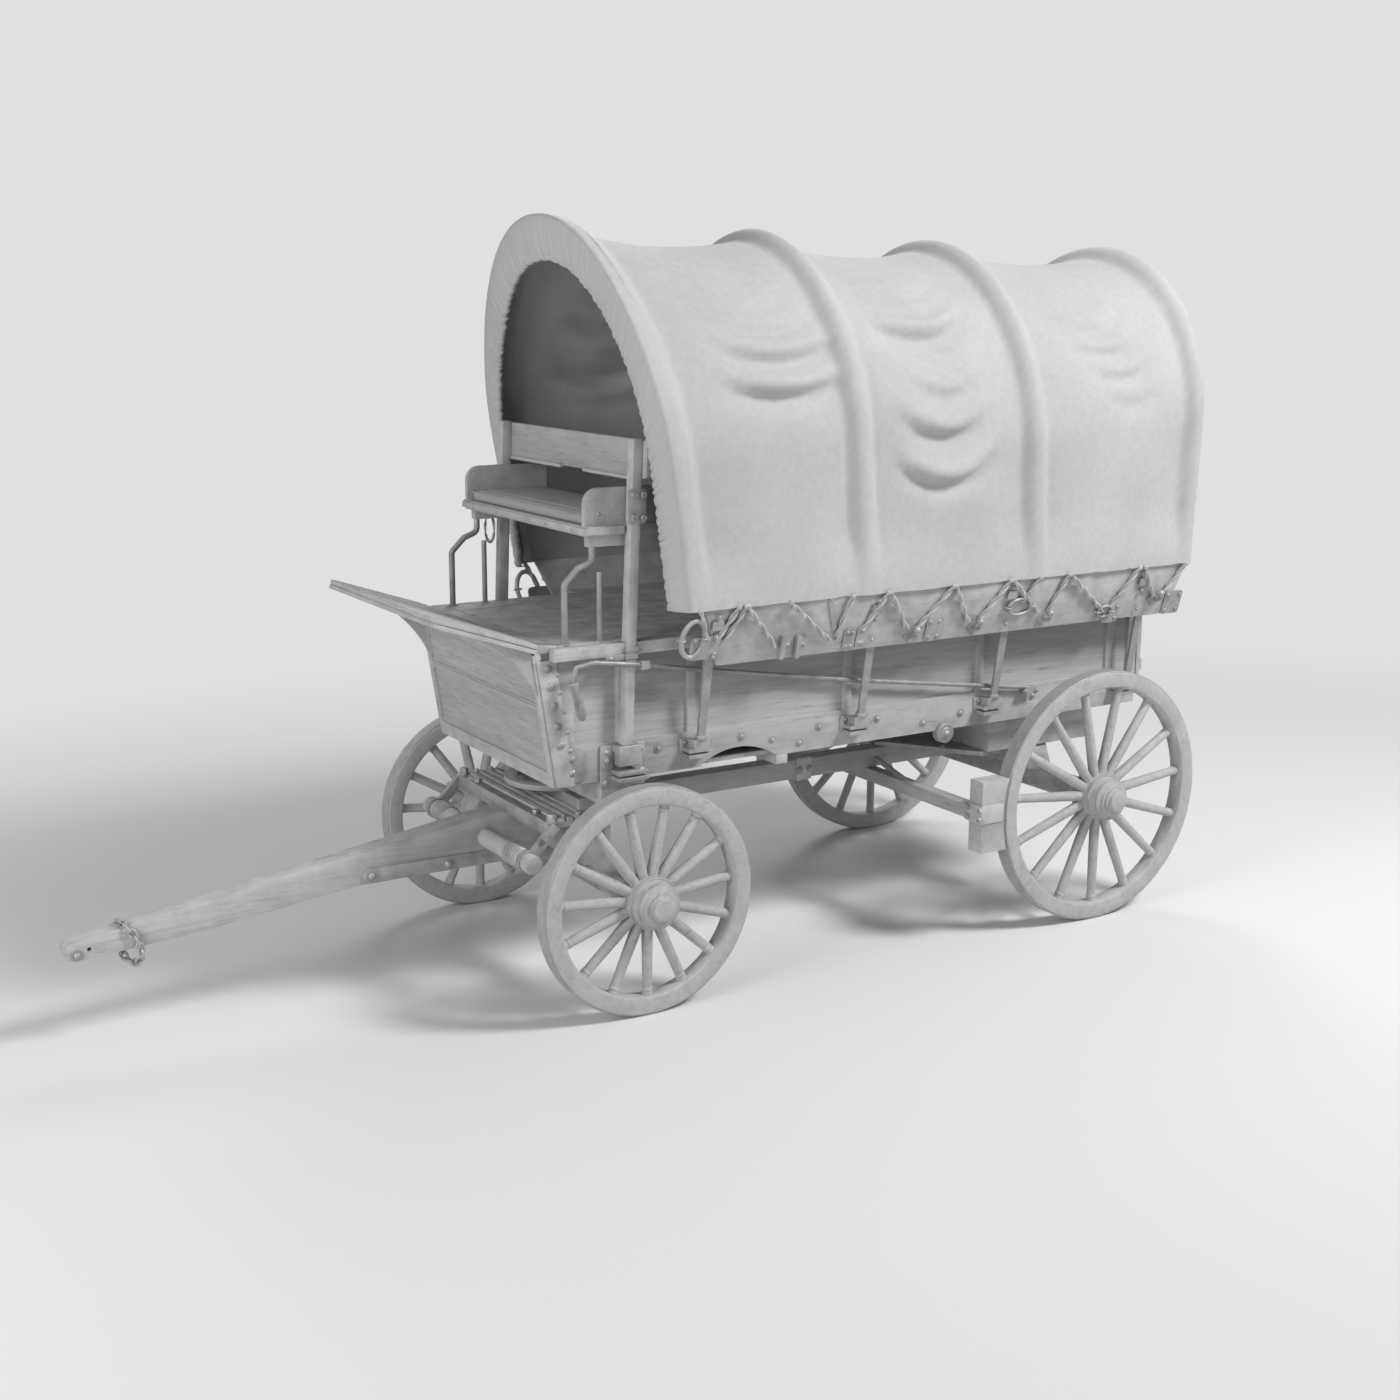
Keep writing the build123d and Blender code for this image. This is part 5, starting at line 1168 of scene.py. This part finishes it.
# Flare boards: one wide plank along each side, leaning out over the wheels on side irons, with
# the flat end board between their rear ends. Every strut has a collar and a foot bracket.
worn("flare_board_left", oak_side, 0.0045)
worn("flare_board_right", oak_side, 0.0045)
worn("side_irons_left", iron, 0.0025)
worn("side_irons_right", iron, 0.0025)
worn("end_board", oak_y, 0.0045)
BOARD_LEAN, BOARD_OUT, BOARD_OUT_HEIGHT = 0.2857, 0.748, 1.480
SLOPE = hypot(1, BOARD_LEAN)
STRUTS = (0.880, -0.004, -0.816, -1.716)
BATTENS = (0.893, 0.033, -0.772, -1.640)


def board_face(station, height, hand, out=0.0):
    """A point on the outer face of a flare board, pushed out square to it."""
    y = BOARD_OUT + BOARD_LEAN * (height - BOARD_OUT_HEIGHT) + out / SLOPE
    return at(station, hand * y, height - out * BOARD_LEAN / SLOPE)


def board_frame(hand):
    """The directions along, up and out of a flare board's face."""
    up = Vector((0, hand * BOARD_LEAN / SLOPE, 1 / SLOPE))
    return Vector(AHEAD), up, Vector((0, hand / SLOPE, -BOARD_LEAN / SLOPE))


def on_board(station, height, width, tall, thick, hand, corner=0.2, tilt=0.0):
    """A plate on the board, turned by tilt in its plane."""
    along, up, out = board_frame(hand)
    side = along * cos(tilt) + up * sin(tilt)
    other = up * cos(tilt) - along * sin(tilt)
    return plate(board_face(station, height, hand), side, other, out, width, tall, thick, corner)


# Irons on the flare boards: hooks, cleats, rings, straps and clips that the cover's lacing and
# the tool boxes were tied to, and the clamps and brackets of the struts.
PLATES = (
    # station, height, width, height of the plate, thickness, corner
    (0.940, 1.576, 0.150, 0.112, 0.008, 0.20),
    (0.159, 1.536, 0.066, 0.110, 0.007, 0.22),
    (0.091, 1.546, 0.056, 0.108, 0.007, 0.22),
    (-0.331, 1.540, 0.092, 0.118, 0.007, 0.16),
    (-1.473, 1.519, 0.108, 0.104, 0.007, 0.18),
    (-1.890, 1.540, 0.120, 0.124, 0.007, 0.10),
)
CLEATS = (
    # station, height
    (0.523, 1.543),
    (0.439, 1.540),
)
HOOKS = (
    # station, height
    (-0.198, 1.523),
    (-0.577, 1.527),
    (-1.018, 1.532),
    (-1.748, 1.573),
)
HOOK_STEM = (
    # up the board, out from it
    (0.0, 0.004),
    (0.0, 0.022),
    (0.004, 0.036),
    (0.012, 0.046),
    (0.026, 0.050),
    (0.040, 0.046),
)
HOOK_BALL = (
    # along, radius
    (-0.018, 0.005),
    (-0.013, 0.0135),
    (0.0, 0.0180),
    (0.013, 0.0135),
    (0.018, 0.005),
)
RINGS = (
    # station, height, half width, half height, wire
    (1.012, 1.625, 0.056, 0.084, 0.0120),
    (-0.838, 1.612, 0.076, 0.042, 0.0070),
    (-1.416, 1.536, 0.044, 0.030, 0.0065),
)
RING_STEPS = 28
STAPLE = (
    # along the board, out from it
    (-0.016, 0.0),
    (-0.012, 0.022),
    (0.0, 0.030),
    (0.012, 0.022),
    (0.016, 0.0),
)
STRUT_BOLTS = (
    # along from the strut, height
    (-0.055, 1.116),
    (0.055, 1.116),
    (-0.055, 1.080),
    (0.055, 1.080),
)
STRUT_COLLAR = (
    # up the strut, radius
    (0, 0.020),
    (0.002, 0.024),
    (0.016, 0.024),
    (0.019, 0.020),
)
STRUT_FOOT_OUT, RIVET_IN = 0.609, (0.020, 0.022)
HOOK_WIRE, STAPLE_WIRE, RING_OUT, RING_TILT = 0.0095, 0.0055, 0.014, 0.004
shapes, domes, bolts = [], [], []
for hand in (1, -1):
    out = board_frame(hand)[2]
    for x, z, width, tall, thick, corner in PLATES:
        shapes.append(on_board(x, z, width, tall, thick, hand, corner))
        for sx, sz in ((-1, -1), (1, -1), (-1, 1), (1, 1)):
            rivet_x = x + sx * (width / 2 - RIVET_IN[0])
            rivet_z = z + sz * (tall / 2 - RIVET_IN[1])
            domes.append((board_face(rivet_x, rivet_z, hand, thick), out, 0.75))
    for x, z in CLEATS:
        shapes.append(on_board(x - 0.008, z, 0.054, 0.074, 0.008, hand))
        shapes.append(on_board(x + 0.012, z, 0.024, 0.112, 0.030, hand, 0.35))
        domes.append((board_face(x - 0.020, z, hand, 0.008), out, 0.8))
    for x, z in HOOKS:
        shapes.append(on_board(x, z, 0.064, 0.064, 0.009, hand, 0.12, pi / 4))
        stem = [board_face(x, z + up, hand, away) for up, away in HOOK_STEM]
        shapes.append(tube(stem, HOOK_WIRE))
        shapes.append(turned(board_face(x, z + 0.044, hand, 0.044), out, HOOK_BALL, 12))
        for dx, dz in ((-0.026, 0), (0.026, 0), (0, -0.026)):
            domes.append((board_face(x + dx, z + dz, hand, 0.006), out, 0.5))
    for x, z, half_wide, half_tall, wire in RINGS:
        ring = []
        for k in range(RING_STEPS):
            angle = 2 * pi * k / RING_STEPS
            ring_x, ring_z = x + half_wide * cos(angle), z + half_tall * sin(angle)
            away = RING_OUT + RING_TILT * sin(angle)
            ring.append(board_face(ring_x, ring_z, hand, away))
        shapes.append(tube(ring, wire, closed=True))
        for side in (-1, 1):
            middle = x + side * half_wide
            staple = [board_face(middle + along, z, hand, away) for along, away in STAPLE]
            shapes.append(tube(staple, STAPLE_WIRE))
    shapes.append(on_board(0.268, 1.647, 0.026, 0.226, 0.006, hand, tilt=-0.347))
    for share in (0.06, 0.94):
        place = board_face(0.307 - 0.077 * share, 1.753 - 0.212 * share, hand, 0.006)
        bolts.append((place, out, 0.55))
    for strut in STRUTS:
        for dx, z in STRUT_BOLTS:
            bolts.append((at(strut + dx, hand * STRUT_FOOT_OUT, z), (0, hand, 0), 0.75))
        for z in (1.060, 1.086):
            place = (strut + 0.010, STRUT_FOOT_OUT, z)
            shapes.append(side_plate(*place, hand, 0.118, 0.017, 0.062, 0.3))
        bolts.append((at(strut - 0.034, hand * 0.650, 1.0945), UP, 0.8))
        foot = at(strut, hand * 0.654, 1.135)
        shapes.append(turned(foot, (0, hand * 0.28, 1), STRUT_COLLAR, 16))
    for batten in BATTENS:
        for z in (1.530, 1.625, 1.715):
            bolts.append((board_face(batten, z, hand, 0.012), out, 0.8))
        shapes.append(on_board(batten, 1.676, 0.060, 0.042, 0.017, hand))
joined("board_irons", shapes, angle=42)
heads("board_domes", dome_tree, domes, 0.016, 0.010)
heads("board_bolts", washer_tree, bolts, 0.017, 0.013)

# Bows: four ash hoops, steam bent and dropped into the side irons. The canvas hides all but
# their inner faces.
ash = wood("bent_ash", (2.2, 4.0, 4.0), (0.46, 0.455, 0.445), (0.36, 0.355, 0.35), 0.2)
for place in ("front", "second", "third", "rear"):
    worn(f"bow_{place}", ash, 0.004)

# Cover: one sheet of heavy canvas, stretched over the four bows and laced down to the boards.
# It hangs slack between the bows, so it sags, swags and bags, and it is gathered at both mouths.
BOARD_TOP, HEM, FOOT_OUT = 1.760, 1.742, 0.842
CANVAS_LIGHT, CANVAS_DARK = (0.50, 0.495, 0.485), (0.45, 0.445, 0.435)
CANVAS_THICK = 0.003
BOWS = (
    # foot station, crown station, half width, crown height, spring height
    (1.040, 1.338, 0.874, 3.412, 2.370),
    (0.092, 0.225, 0.842, 3.372, 2.426),
    (-0.915, -0.815, 0.856, 3.340, 2.390),
    (-1.925, -1.985, 0.848, 3.326, 2.440),
)
RIDGES = (
    # centre behind the bow's plane, half width
    (-0.044, 0.044),
    (0.0, 0.025),
    (0.0, 0.025),
    (0.012, 0.030),
)
RIDGE_DROP, RIDGE_FLANK, RIDGE_CROWN = 0.042, 0.062, 0.007
BAG_RISE, BAG_START, BAG_LONG = 0.028, 0.06, 0.34
FRONT_HOLLOW, REAR_HOLLOW = 0.85, 1.0
BAY_SAG = (0.108, 0.104, 0.100)
ARC_OVER, ARC_UNDER = 1.19, 0.19 * 0.45
BOWS_SHARE, TIGHT_HEM, HEM_RISE = 0.30, 0.25, 0.30
BAY_STEPS, ACROSS, ARC_STEPS = 34, 241, 60
CROWDING = 0.55  # how much closer the rows stand at a bow than between the bows
SWAGS = (
    # station, height, half length, rise at the front end, at the rear end, depth, side
    (0.55, 2.66, 0.32, 0.055, 0.065, 0.026, 1),
    (0.55, 2.81, 0.31, 0.055, 0.065, 0.020, 1),
    (0.58, 2.92, 0.28, 0.055, 0.065, 0.011, 1),
    (0.60, 3.01, 0.22, 0.055, 0.065, 0.006, 1),
    (-0.31, 2.90, 0.30, 0.055, 0.115, 0.025, 1),
    (-0.30, 2.99, 0.29, 0.055, 0.105, 0.013, 1),
    (-0.30, 3.07, 0.27, 0.055, 0.085, 0.010, 1),
    (-0.33, 2.46, 0.27, 0.105, 0.155, 0.018, 1),
    (-0.34, 2.24, 0.29, 0.115, 0.165, 0.020, 1),
    (-0.36, 2.64, 0.22, 0.085, 0.125, 0.009, 1),
    (-1.36, 2.92, 0.26, 0.055, 0.105, 0.010, 1),
    (-1.40, 2.81, 0.26, 0.065, 0.125, 0.013, 1),
    (-1.45, 2.70, 0.24, 0.075, 0.125, 0.011, 1),
    (-1.50, 2.58, 0.20, 0.085, 0.125, 0.006, 1),
    (0.56, 2.86, 0.30, 0.065, 0.055, 0.016, -1),
    (0.58, 2.62, 0.29, 0.055, 0.075, 0.017, -1),
    (0.60, 2.98, 0.24, 0.055, 0.075, 0.007, -1),
    (-0.32, 2.84, 0.27, 0.085, 0.105, 0.015, -1),
    (-0.36, 2.52, 0.28, 0.105, 0.135, 0.018, -1),
    (-0.33, 2.28, 0.25, 0.105, 0.145, 0.015, -1),
    (-1.40, 2.85, 0.24, 0.075, 0.105, 0.010, -1),
    (-1.45, 2.64, 0.23, 0.085, 0.115, 0.009, -1),
)
SWAG_DEPTH = 1.75
BULGE_AT, BULGE_HALF = 0.034, 0.046
DIP_AT, DIP_ABOVE, DIP_BELOW, DIP_DEPTH = -0.022, 0.022, 0.058, 0.9
CREASE_HALF = 0.028
HEM_CREASES = (
    # station at the hem, station at its upper end, height of that end, depth
    (0.53, 0.42, 1.87, 0.008),
    (0.86, 0.74, 1.90, 0.006),
    (-0.42, -0.52, 1.88, 0.006),
    (-1.33, -1.47, 1.87, 0.008),
    (-1.62, -1.72, 1.90, 0.006),
)
DRIFT = 0.0013
DRIFT_WAVES = ((7, 5, 0), (-11, 9, 2), (4, -15, 4), (19, 6, 1))  # per metre along, up, shift


def soft(t):
    """A smooth step from 0 to 1."""
    t = np.clip(t, 0, 1)
    return t * t * (3 - 2 * t)


def arch_outline(foot_out, half, crown, spring, count):
    """Points across an arch as (y, z), from the left hem over the crown to the right hem."""
    rise = crown - spring
    # Two arcs that meet in one tangent: a shoulder of radius side and a crown of radius top.
    side = ARC_OVER * max(half, rise) - ARC_UNDER * min(half, rise)
    top = (2 * half * side - half**2 - rise**2) / (2 * (side - rise))
    centre_y, centre_z = half - side, rise - top
    bend = atan2(centre_z, -centre_y)
    leg = np.linspace(0, 1, ARC_STEPS)[:-1]
    shoulder = np.linspace(0, bend, ARC_STEPS)[:-1]
    points = [(foot_out + (half - foot_out) * t, HEM + (spring - HEM) * t) for t in leg]
    points += [(centre_y + side * cos(t), spring + side * sin(t)) for t in shoulder]
    for t in np.linspace(bend, pi / 2, ARC_STEPS):
        points.append((top * cos(t), spring + centre_z + top * sin(t)))
    points = np.array(points)
    whole = np.vstack([points, points[:-1][::-1] * np.array([-1, 1])])
    run = np.concatenate([[0], np.cumsum(np.hypot(*np.diff(whole, axis=0).T))])
    place = np.linspace(0, run[-1], count)
    return np.column_stack([np.interp(place, run, whole[:, 0]), np.interp(place, run, whole[:, 1])])


def canvas_row(bay, share):
    """One row of canvas across the wagon: its points and their outward directions in y and z."""
    a, b = np.array(BOWS[bay]), np.array(BOWS[bay + 1])
    foot, crown_at, half, crown, spring = a + (b - a) * share
    outline = arch_outline(FOOT_OUT, half, crown, spring, ACROSS)
    lean = (crown_at - foot) / (crown - BOARD_TOP)
    tangent = np.gradient(outline, axis=0)
    tangent /= np.linalg.norm(tangent, axis=1)[:, None]
    normal = np.column_stack([tangent[:, 1], -tangent[:, 0]])
    length = abs(a[1] - b[1])
    front_reach = share * length + RIDGES[bay][0]
    rear_reach = (1 - share) * length - RIDGES[bay + 1][0]
    nearer = float(soft(0.5 + (rear_reach - front_reach) / BOWS_SHARE))
    over = soft((outline[:, 1] - spring) / (crown - spring))
    depth = 0.0
    for reach, ridge, hollow, weight in (
        (front_reach, RIDGES[bay][1], FRONT_HOLLOW, nearer),
        (rear_reach, RIDGES[bay + 1][1], REAR_HOLLOW, 1 - nearer),
    ):
        off = max(abs(reach) - ridge, 0.0)
        crest = RIDGE_CROWN * min(abs(reach) / ridge, 1.0) ** 2
        drop = RIDGE_DROP * soft(off / RIDGE_FLANK)
        side = crest + hollow * (drop - BAG_RISE * soft((off - BAG_START) / BAG_LONG))
        top = crest + drop
        depth = depth + (side + (top - side) * over) * weight
    depth = depth + over * (BAY_SAG[bay] - RIDGE_DROP) * 4 * share * (1 - share)
    free = soft((outline[:, 1] - BOARD_TOP) / HEM_RISE)
    depth = depth * (TIGHT_HEM + (1 - TIGHT_HEM) * free)
    flat = outline - normal * depth[:, None]
    x = foot + lean * (flat[:, 1] - BOARD_TOP)
    return np.column_stack([x, flat]), normal


def swagged(points, normal):
    """Adds swags and hem creases to rows of canvas."""
    x, y, z = points[..., 0], points[..., 1], points[..., 2]
    swell = np.zeros_like(x)
    for station, height, half, front_rise, rear_rise, depth, hand in SWAGS:
        u = (x - station) / half
        line = height + np.where(u > 0, front_rise, rear_rise) * u**2
        inside = np.clip(1 - u**2, 0, 1) ** 0.8 * (np.sign(y) == hand)
        bulge = dent(z - line - BULGE_AT, BULGE_HALF)
        off = z - line - DIP_AT
        dip = dent(off, np.where(off > 0, DIP_ABOVE, DIP_BELOW)) * DIP_DEPTH
        swell += SWAG_DEPTH * depth * inside * (bulge - dip)
    for low_at, high_at, top, depth in HEM_CREASES:
        t = np.clip((z - HEM) / (top - HEM), 0, 1.2)
        off = x - (low_at + (high_at - low_at) * t)
        swell += depth * dent(off, CREASE_HALF) * np.clip(1 - t, 0, 1) ** 0.6
    points[..., 1] += normal[..., 0] * swell
    points[..., 2] += normal[..., 1] * swell
    return points


rows, normals = [], []
for bay in range(3):
    for step in range(BAY_STEPS + (bay == 2)):
        share = step / BAY_STEPS
        made, out = canvas_row(bay, share - CROWDING / (2 * pi) * sin(2 * pi * share))
        rows.append(made)
        normals.append(out)
rows, normals = np.array(rows), np.array(normals)
drift = sum(
    DRIFT * np.sin(rows[..., 0] * a + rows[..., 2] * b + shift) for a, b, shift in DRIFT_WAVES
)
rows[..., 1] += normals[..., 0] * drift
rows[..., 2] += normals[..., 1] * drift
rows = swagged(rows, normals)

# Mouths: beyond the end bows the canvas turns in and is gathered on a cord, so the hoods are
# puckered into sharp pleats that fan out from the cord.
FINE = 3
PLEATS_FRONT, PLEATS_REAR = 112, 84
BAND_ROWS_FRONT, BAND_ROWS_REAR = 16, 10
SLIDE, WANDER = 0.0035, 0.0012
PLEAT_GAPS, PLEAT_STRENGTHS, PLEAT_SHARP = (0.35, 1.9), (0.25, 1.6), 0.7
PLEAT_SIZE, PLEAT_SIZE_CROWN, PLEAT_SIZE_HEM = 0.0040, 0.0030, 0.003
PLEAT_GROWTH, PLEAT_LIFT, PLEAT_MEAN = 1.1, 0.35, 1.25
SCALLOP, SCALLOP_HEM, SCALLOP_PLEATS = 0.0025, 0.0040, 2.6
CORD, CORD_STEPS, CORD_TURN, CORD_CENTRE = 0.011, 4, pi / 4.6, 2.3
MOUTH_FRONT = (0.735, 0.732, 3.224, 2.324)  # foot out, half width, crown height, spring height
MOUTH_REAR = (0.735, 0.706, 3.138, 2.394)


def mouth_band(edge, bow, forward, count, mouth, bulge, foot_forward, pleats, seed):
    """Rows of gathered canvas from an end bow in to its corded mouth."""
    foot, crown_at, half, crown, spring = bow
    wide = FINE * (ACROSS - 1) + 1
    fine = np.linspace(0, 1, wide)
    coarse = np.linspace(0, 1, ACROSS)
    start = np.column_stack([np.interp(fine, coarse, edge[:, k]) for k in range(3)])
    inner = arch_outline(*mouth, wide)
    lean = (crown_at - foot) / (crown - BOARD_TOP)
    pick = np.random.default_rng(seed)
    gaps = np.cumsum(pick.uniform(*PLEAT_GAPS, pleats))
    phase = np.interp(fine, np.concatenate([[0], gaps / gaps[-1]]), np.arange(pleats + 1))
    strength = np.interp(fine, np.linspace(0, 1, 60), pick.uniform(*PLEAT_STRENGTHS, 60))
    ridge = (np.abs(np.sin(pi * phase)) ** PLEAT_SHARP * 2 - PLEAT_MEAN) * strength
    wander = np.interp(fine, np.linspace(0, 1, 25), pick.uniform(-1, 1, 25))
    up = np.clip((start[:, 2] - HEM) / (crown - HEM), 0, 1)
    size = PLEAT_SIZE + PLEAT_SIZE_CROWN * soft((up - 0.55) / 0.35)
    size = size + PLEAT_SIZE_HEM * soft(1 - up / 0.12)
    made = []
    for step in range(1, count + 1):
        v = step / count
        slide = fine + SLIDE * np.sin(pi * v) * (0.5 - fine) * 2 * (1 - up) + WANDER * wander * v
        flat = np.column_stack([np.interp(slide, fine, start[:, k]) for k in (1, 2)])
        flat = flat + (inner - flat) * v
        low_down = np.clip(1 - (flat[:, 1] - HEM) / 1.2, 0, 1)
        fold = size * ridge * v**PLEAT_GROWTH
        x = foot + lean * (flat[:, 1] - BOARD_TOP)
        x = x + forward * (bulge * sin(pi * v) ** 0.8 + foot_forward * v * low_down + fold)
        lift = PLEAT_LIFT * fold * sin(pi * v)
        flat[:, 0] += np.sign(flat[:, 0]) * lift * (1 - up)
        flat[:, 1] += lift * up
        made.append(np.column_stack([x, flat]))
    cord = made[-1]
    scallop = SCALLOP + SCALLOP_HEM * soft(1 - up / 0.3)
    scallop = scallop * np.sin(2 * pi * phase / SCALLOP_PLEATS)
    inward = np.array([0, 0, CORD_CENTRE]) - cord
    inward[:, 0] = 0
    inward /= np.linalg.norm(inward, axis=1)[:, None]
    cord += inward * scallop[:, None]
    for step in range(1, CORD_STEPS + 1):
        shift = inward * CORD * sin(step * CORD_TURN)
        shift[:, 0] = -forward * CORD * (1 - cos(step * CORD_TURN))
        made.append(cord + shift)
    return made


front_band = mouth_band(
    rows[0],
    BOWS[0],
    1,
    BAND_ROWS_FRONT,
    MOUTH_FRONT,
    bulge=0.016,
    foot_forward=0.055,
    pleats=PLEATS_FRONT,
    seed=3,
)
rear_band = mouth_band(
    rows[-1],
    BOWS[3],
    -1,
    BAND_ROWS_REAR,
    MOUTH_REAR,
    bulge=0.012,
    foot_forward=0.010,
    pleats=PLEATS_REAR,
    seed=5,
)
points, faces, starts, counts = [], [], [], []
for row in front_band[::-1] + list(rows) + rear_band:
    starts.append(len(points))
    points.extend(row)
    counts.append(len(row))
for a, b, here, after in zip(starts, starts[1:], counts, counts[1:]):
    if here == after:
        faces += [(a + j, a + j + 1, b + j + 1, b + j) for j in range(here - 1)]
    elif here > after:
        for j in range(after - 1):
            faces.append((*range(a + FINE * j, a + FINE * (j + 1) + 1), b + j + 1, b + j))
    else:
        for j in range(here - 1):
            faces.append((a + j, a + j + 1, *range(b + FINE * (j + 1), b + FINE * j - 1, -1)))

# The hem hangs in a shallow wave, and the canvas's weave follows the sheet as it was cut.
HEM_WAVES = ((0.006, 21.0, 0), (0.004, 33.0, 1))  # height, waves' turn per metre, shift
HEM_WAVE_UP = 0.12
low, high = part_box("cover")
flat_points = np.array(points) + np.array([MID, 0, 0])
x, z = flat_points[:, 0], flat_points[:, 2]
wave = sum(height * np.sin(x * turn + shift) for height, turn, shift in HEM_WAVES)
z = z + wave * np.clip(1 - (z - HEM) / HEM_WAVE_UP, 0, 1) ** 2
flat_points[:, 2] = np.clip(z, low.z + 0.004, high.z + 0.006)
canvas = textured("canvas", weave, CANVAS_LIGHT, CANVAS_DARK, bump=0.25, depth=0.0015, uv="cut")
cover = new_mesh("canvas_cover", flat_points, faces, canvas)
run_along, run_across = np.zeros(len(points)), np.zeros(len(points))
for start, count in zip(starts, counts):
    line = np.array(points[start : start + count])
    run = np.concatenate([[0], np.cumsum(np.linalg.norm(np.diff(line, axis=0), axis=1))])
    run_across[start : start + count] = run - run[-1] / 2
    run_along[start : start + count] = line[count // 2][0]
corners = [corner.vertex_index for corner in cover.data.loops]
uv_layer = cover.data.uv_layers.new(name="cut")
uv_layer.data.foreach_set("uv", np.column_stack([run_along, run_across])[corners].ravel())
thick = cover.modifiers.new("thickness", "SOLIDIFY")
thick.thickness = CANVAS_THICK
thick.offset = -1.0
settle(cover)
finished(cover, "wagon", 80)
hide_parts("cover")

# Lacing: two-ply rope through the cover's hem and round the hooks of the boards, pulled taut in
# straight legs that lean forward and back by turns.
HEM_HOLE, KNOT_HEIGHT = 1.752, 1.754
KNOT = (
    # out from the hem, radius
    (0, 0.009),
    (0.004, 0.0125),
    (0.014, 0.0125),
    (0.018, 0.009),
)
ROPE_LEGS = (
    # station at the hem, station at the foot, height of the foot
    (0.997, 0.937, 1.610),
    (0.804, 0.890, 1.605),
    (0.768, 0.850, 1.600),
    (0.757, 0.570, 1.550),
    (0.533, 0.270, 1.545),
    (0.196, 0.240, 1.565),
    (-0.004, 0.100, 1.580),
    (-0.020, -0.165, 1.560),
    (-0.385, -0.215, 1.550),
    (-0.400, -0.530, 1.560),
    (-0.733, -0.590, 1.560),
    (-0.752, -0.967, 1.570),
    (-0.922, -0.842, 1.640),
    (-1.104, -1.030, 1.575),
    (-1.120, -1.400, 1.540),
    (-1.576, -1.446, 1.560),
    (-1.611, -1.737, 1.580),
    (-1.900, -1.766, 1.560),
)
for hand, side in ((1, "left"), (-1, "right")):
    lines, knots = [], []
    for top, foot, height in ROPE_LEGS:
        if hand < 0:
            top, foot = top + 0.02 * sin(9 * top), foot + 0.02 * sin(7 * foot)
        middle = board_face((top + foot) / 2, (HEM_HOLE + height) / 2, hand, 0.016)
        start, stop = board_face(top, HEM_HOLE, hand, 0.020), board_face(foot, height, hand, 0.012)
        lines.append((start, middle, stop))
        knot = board_face(top, KNOT_HEIGHT, hand, 0.012)
        knots.append(turned(knot, (0, hand, -0.28), KNOT, 10))
    path = line_object(f"lacing_{side}", lines, "POLY")
    name = f"lacing_ropes_{side}"
    made_from_path(name, path, rope_tree, "wagon", "canvas", 60, Strand=0.0072, Material=hemp)
    joined(f"lacing_knots_{side}", knots, material=hemp, angle=70)
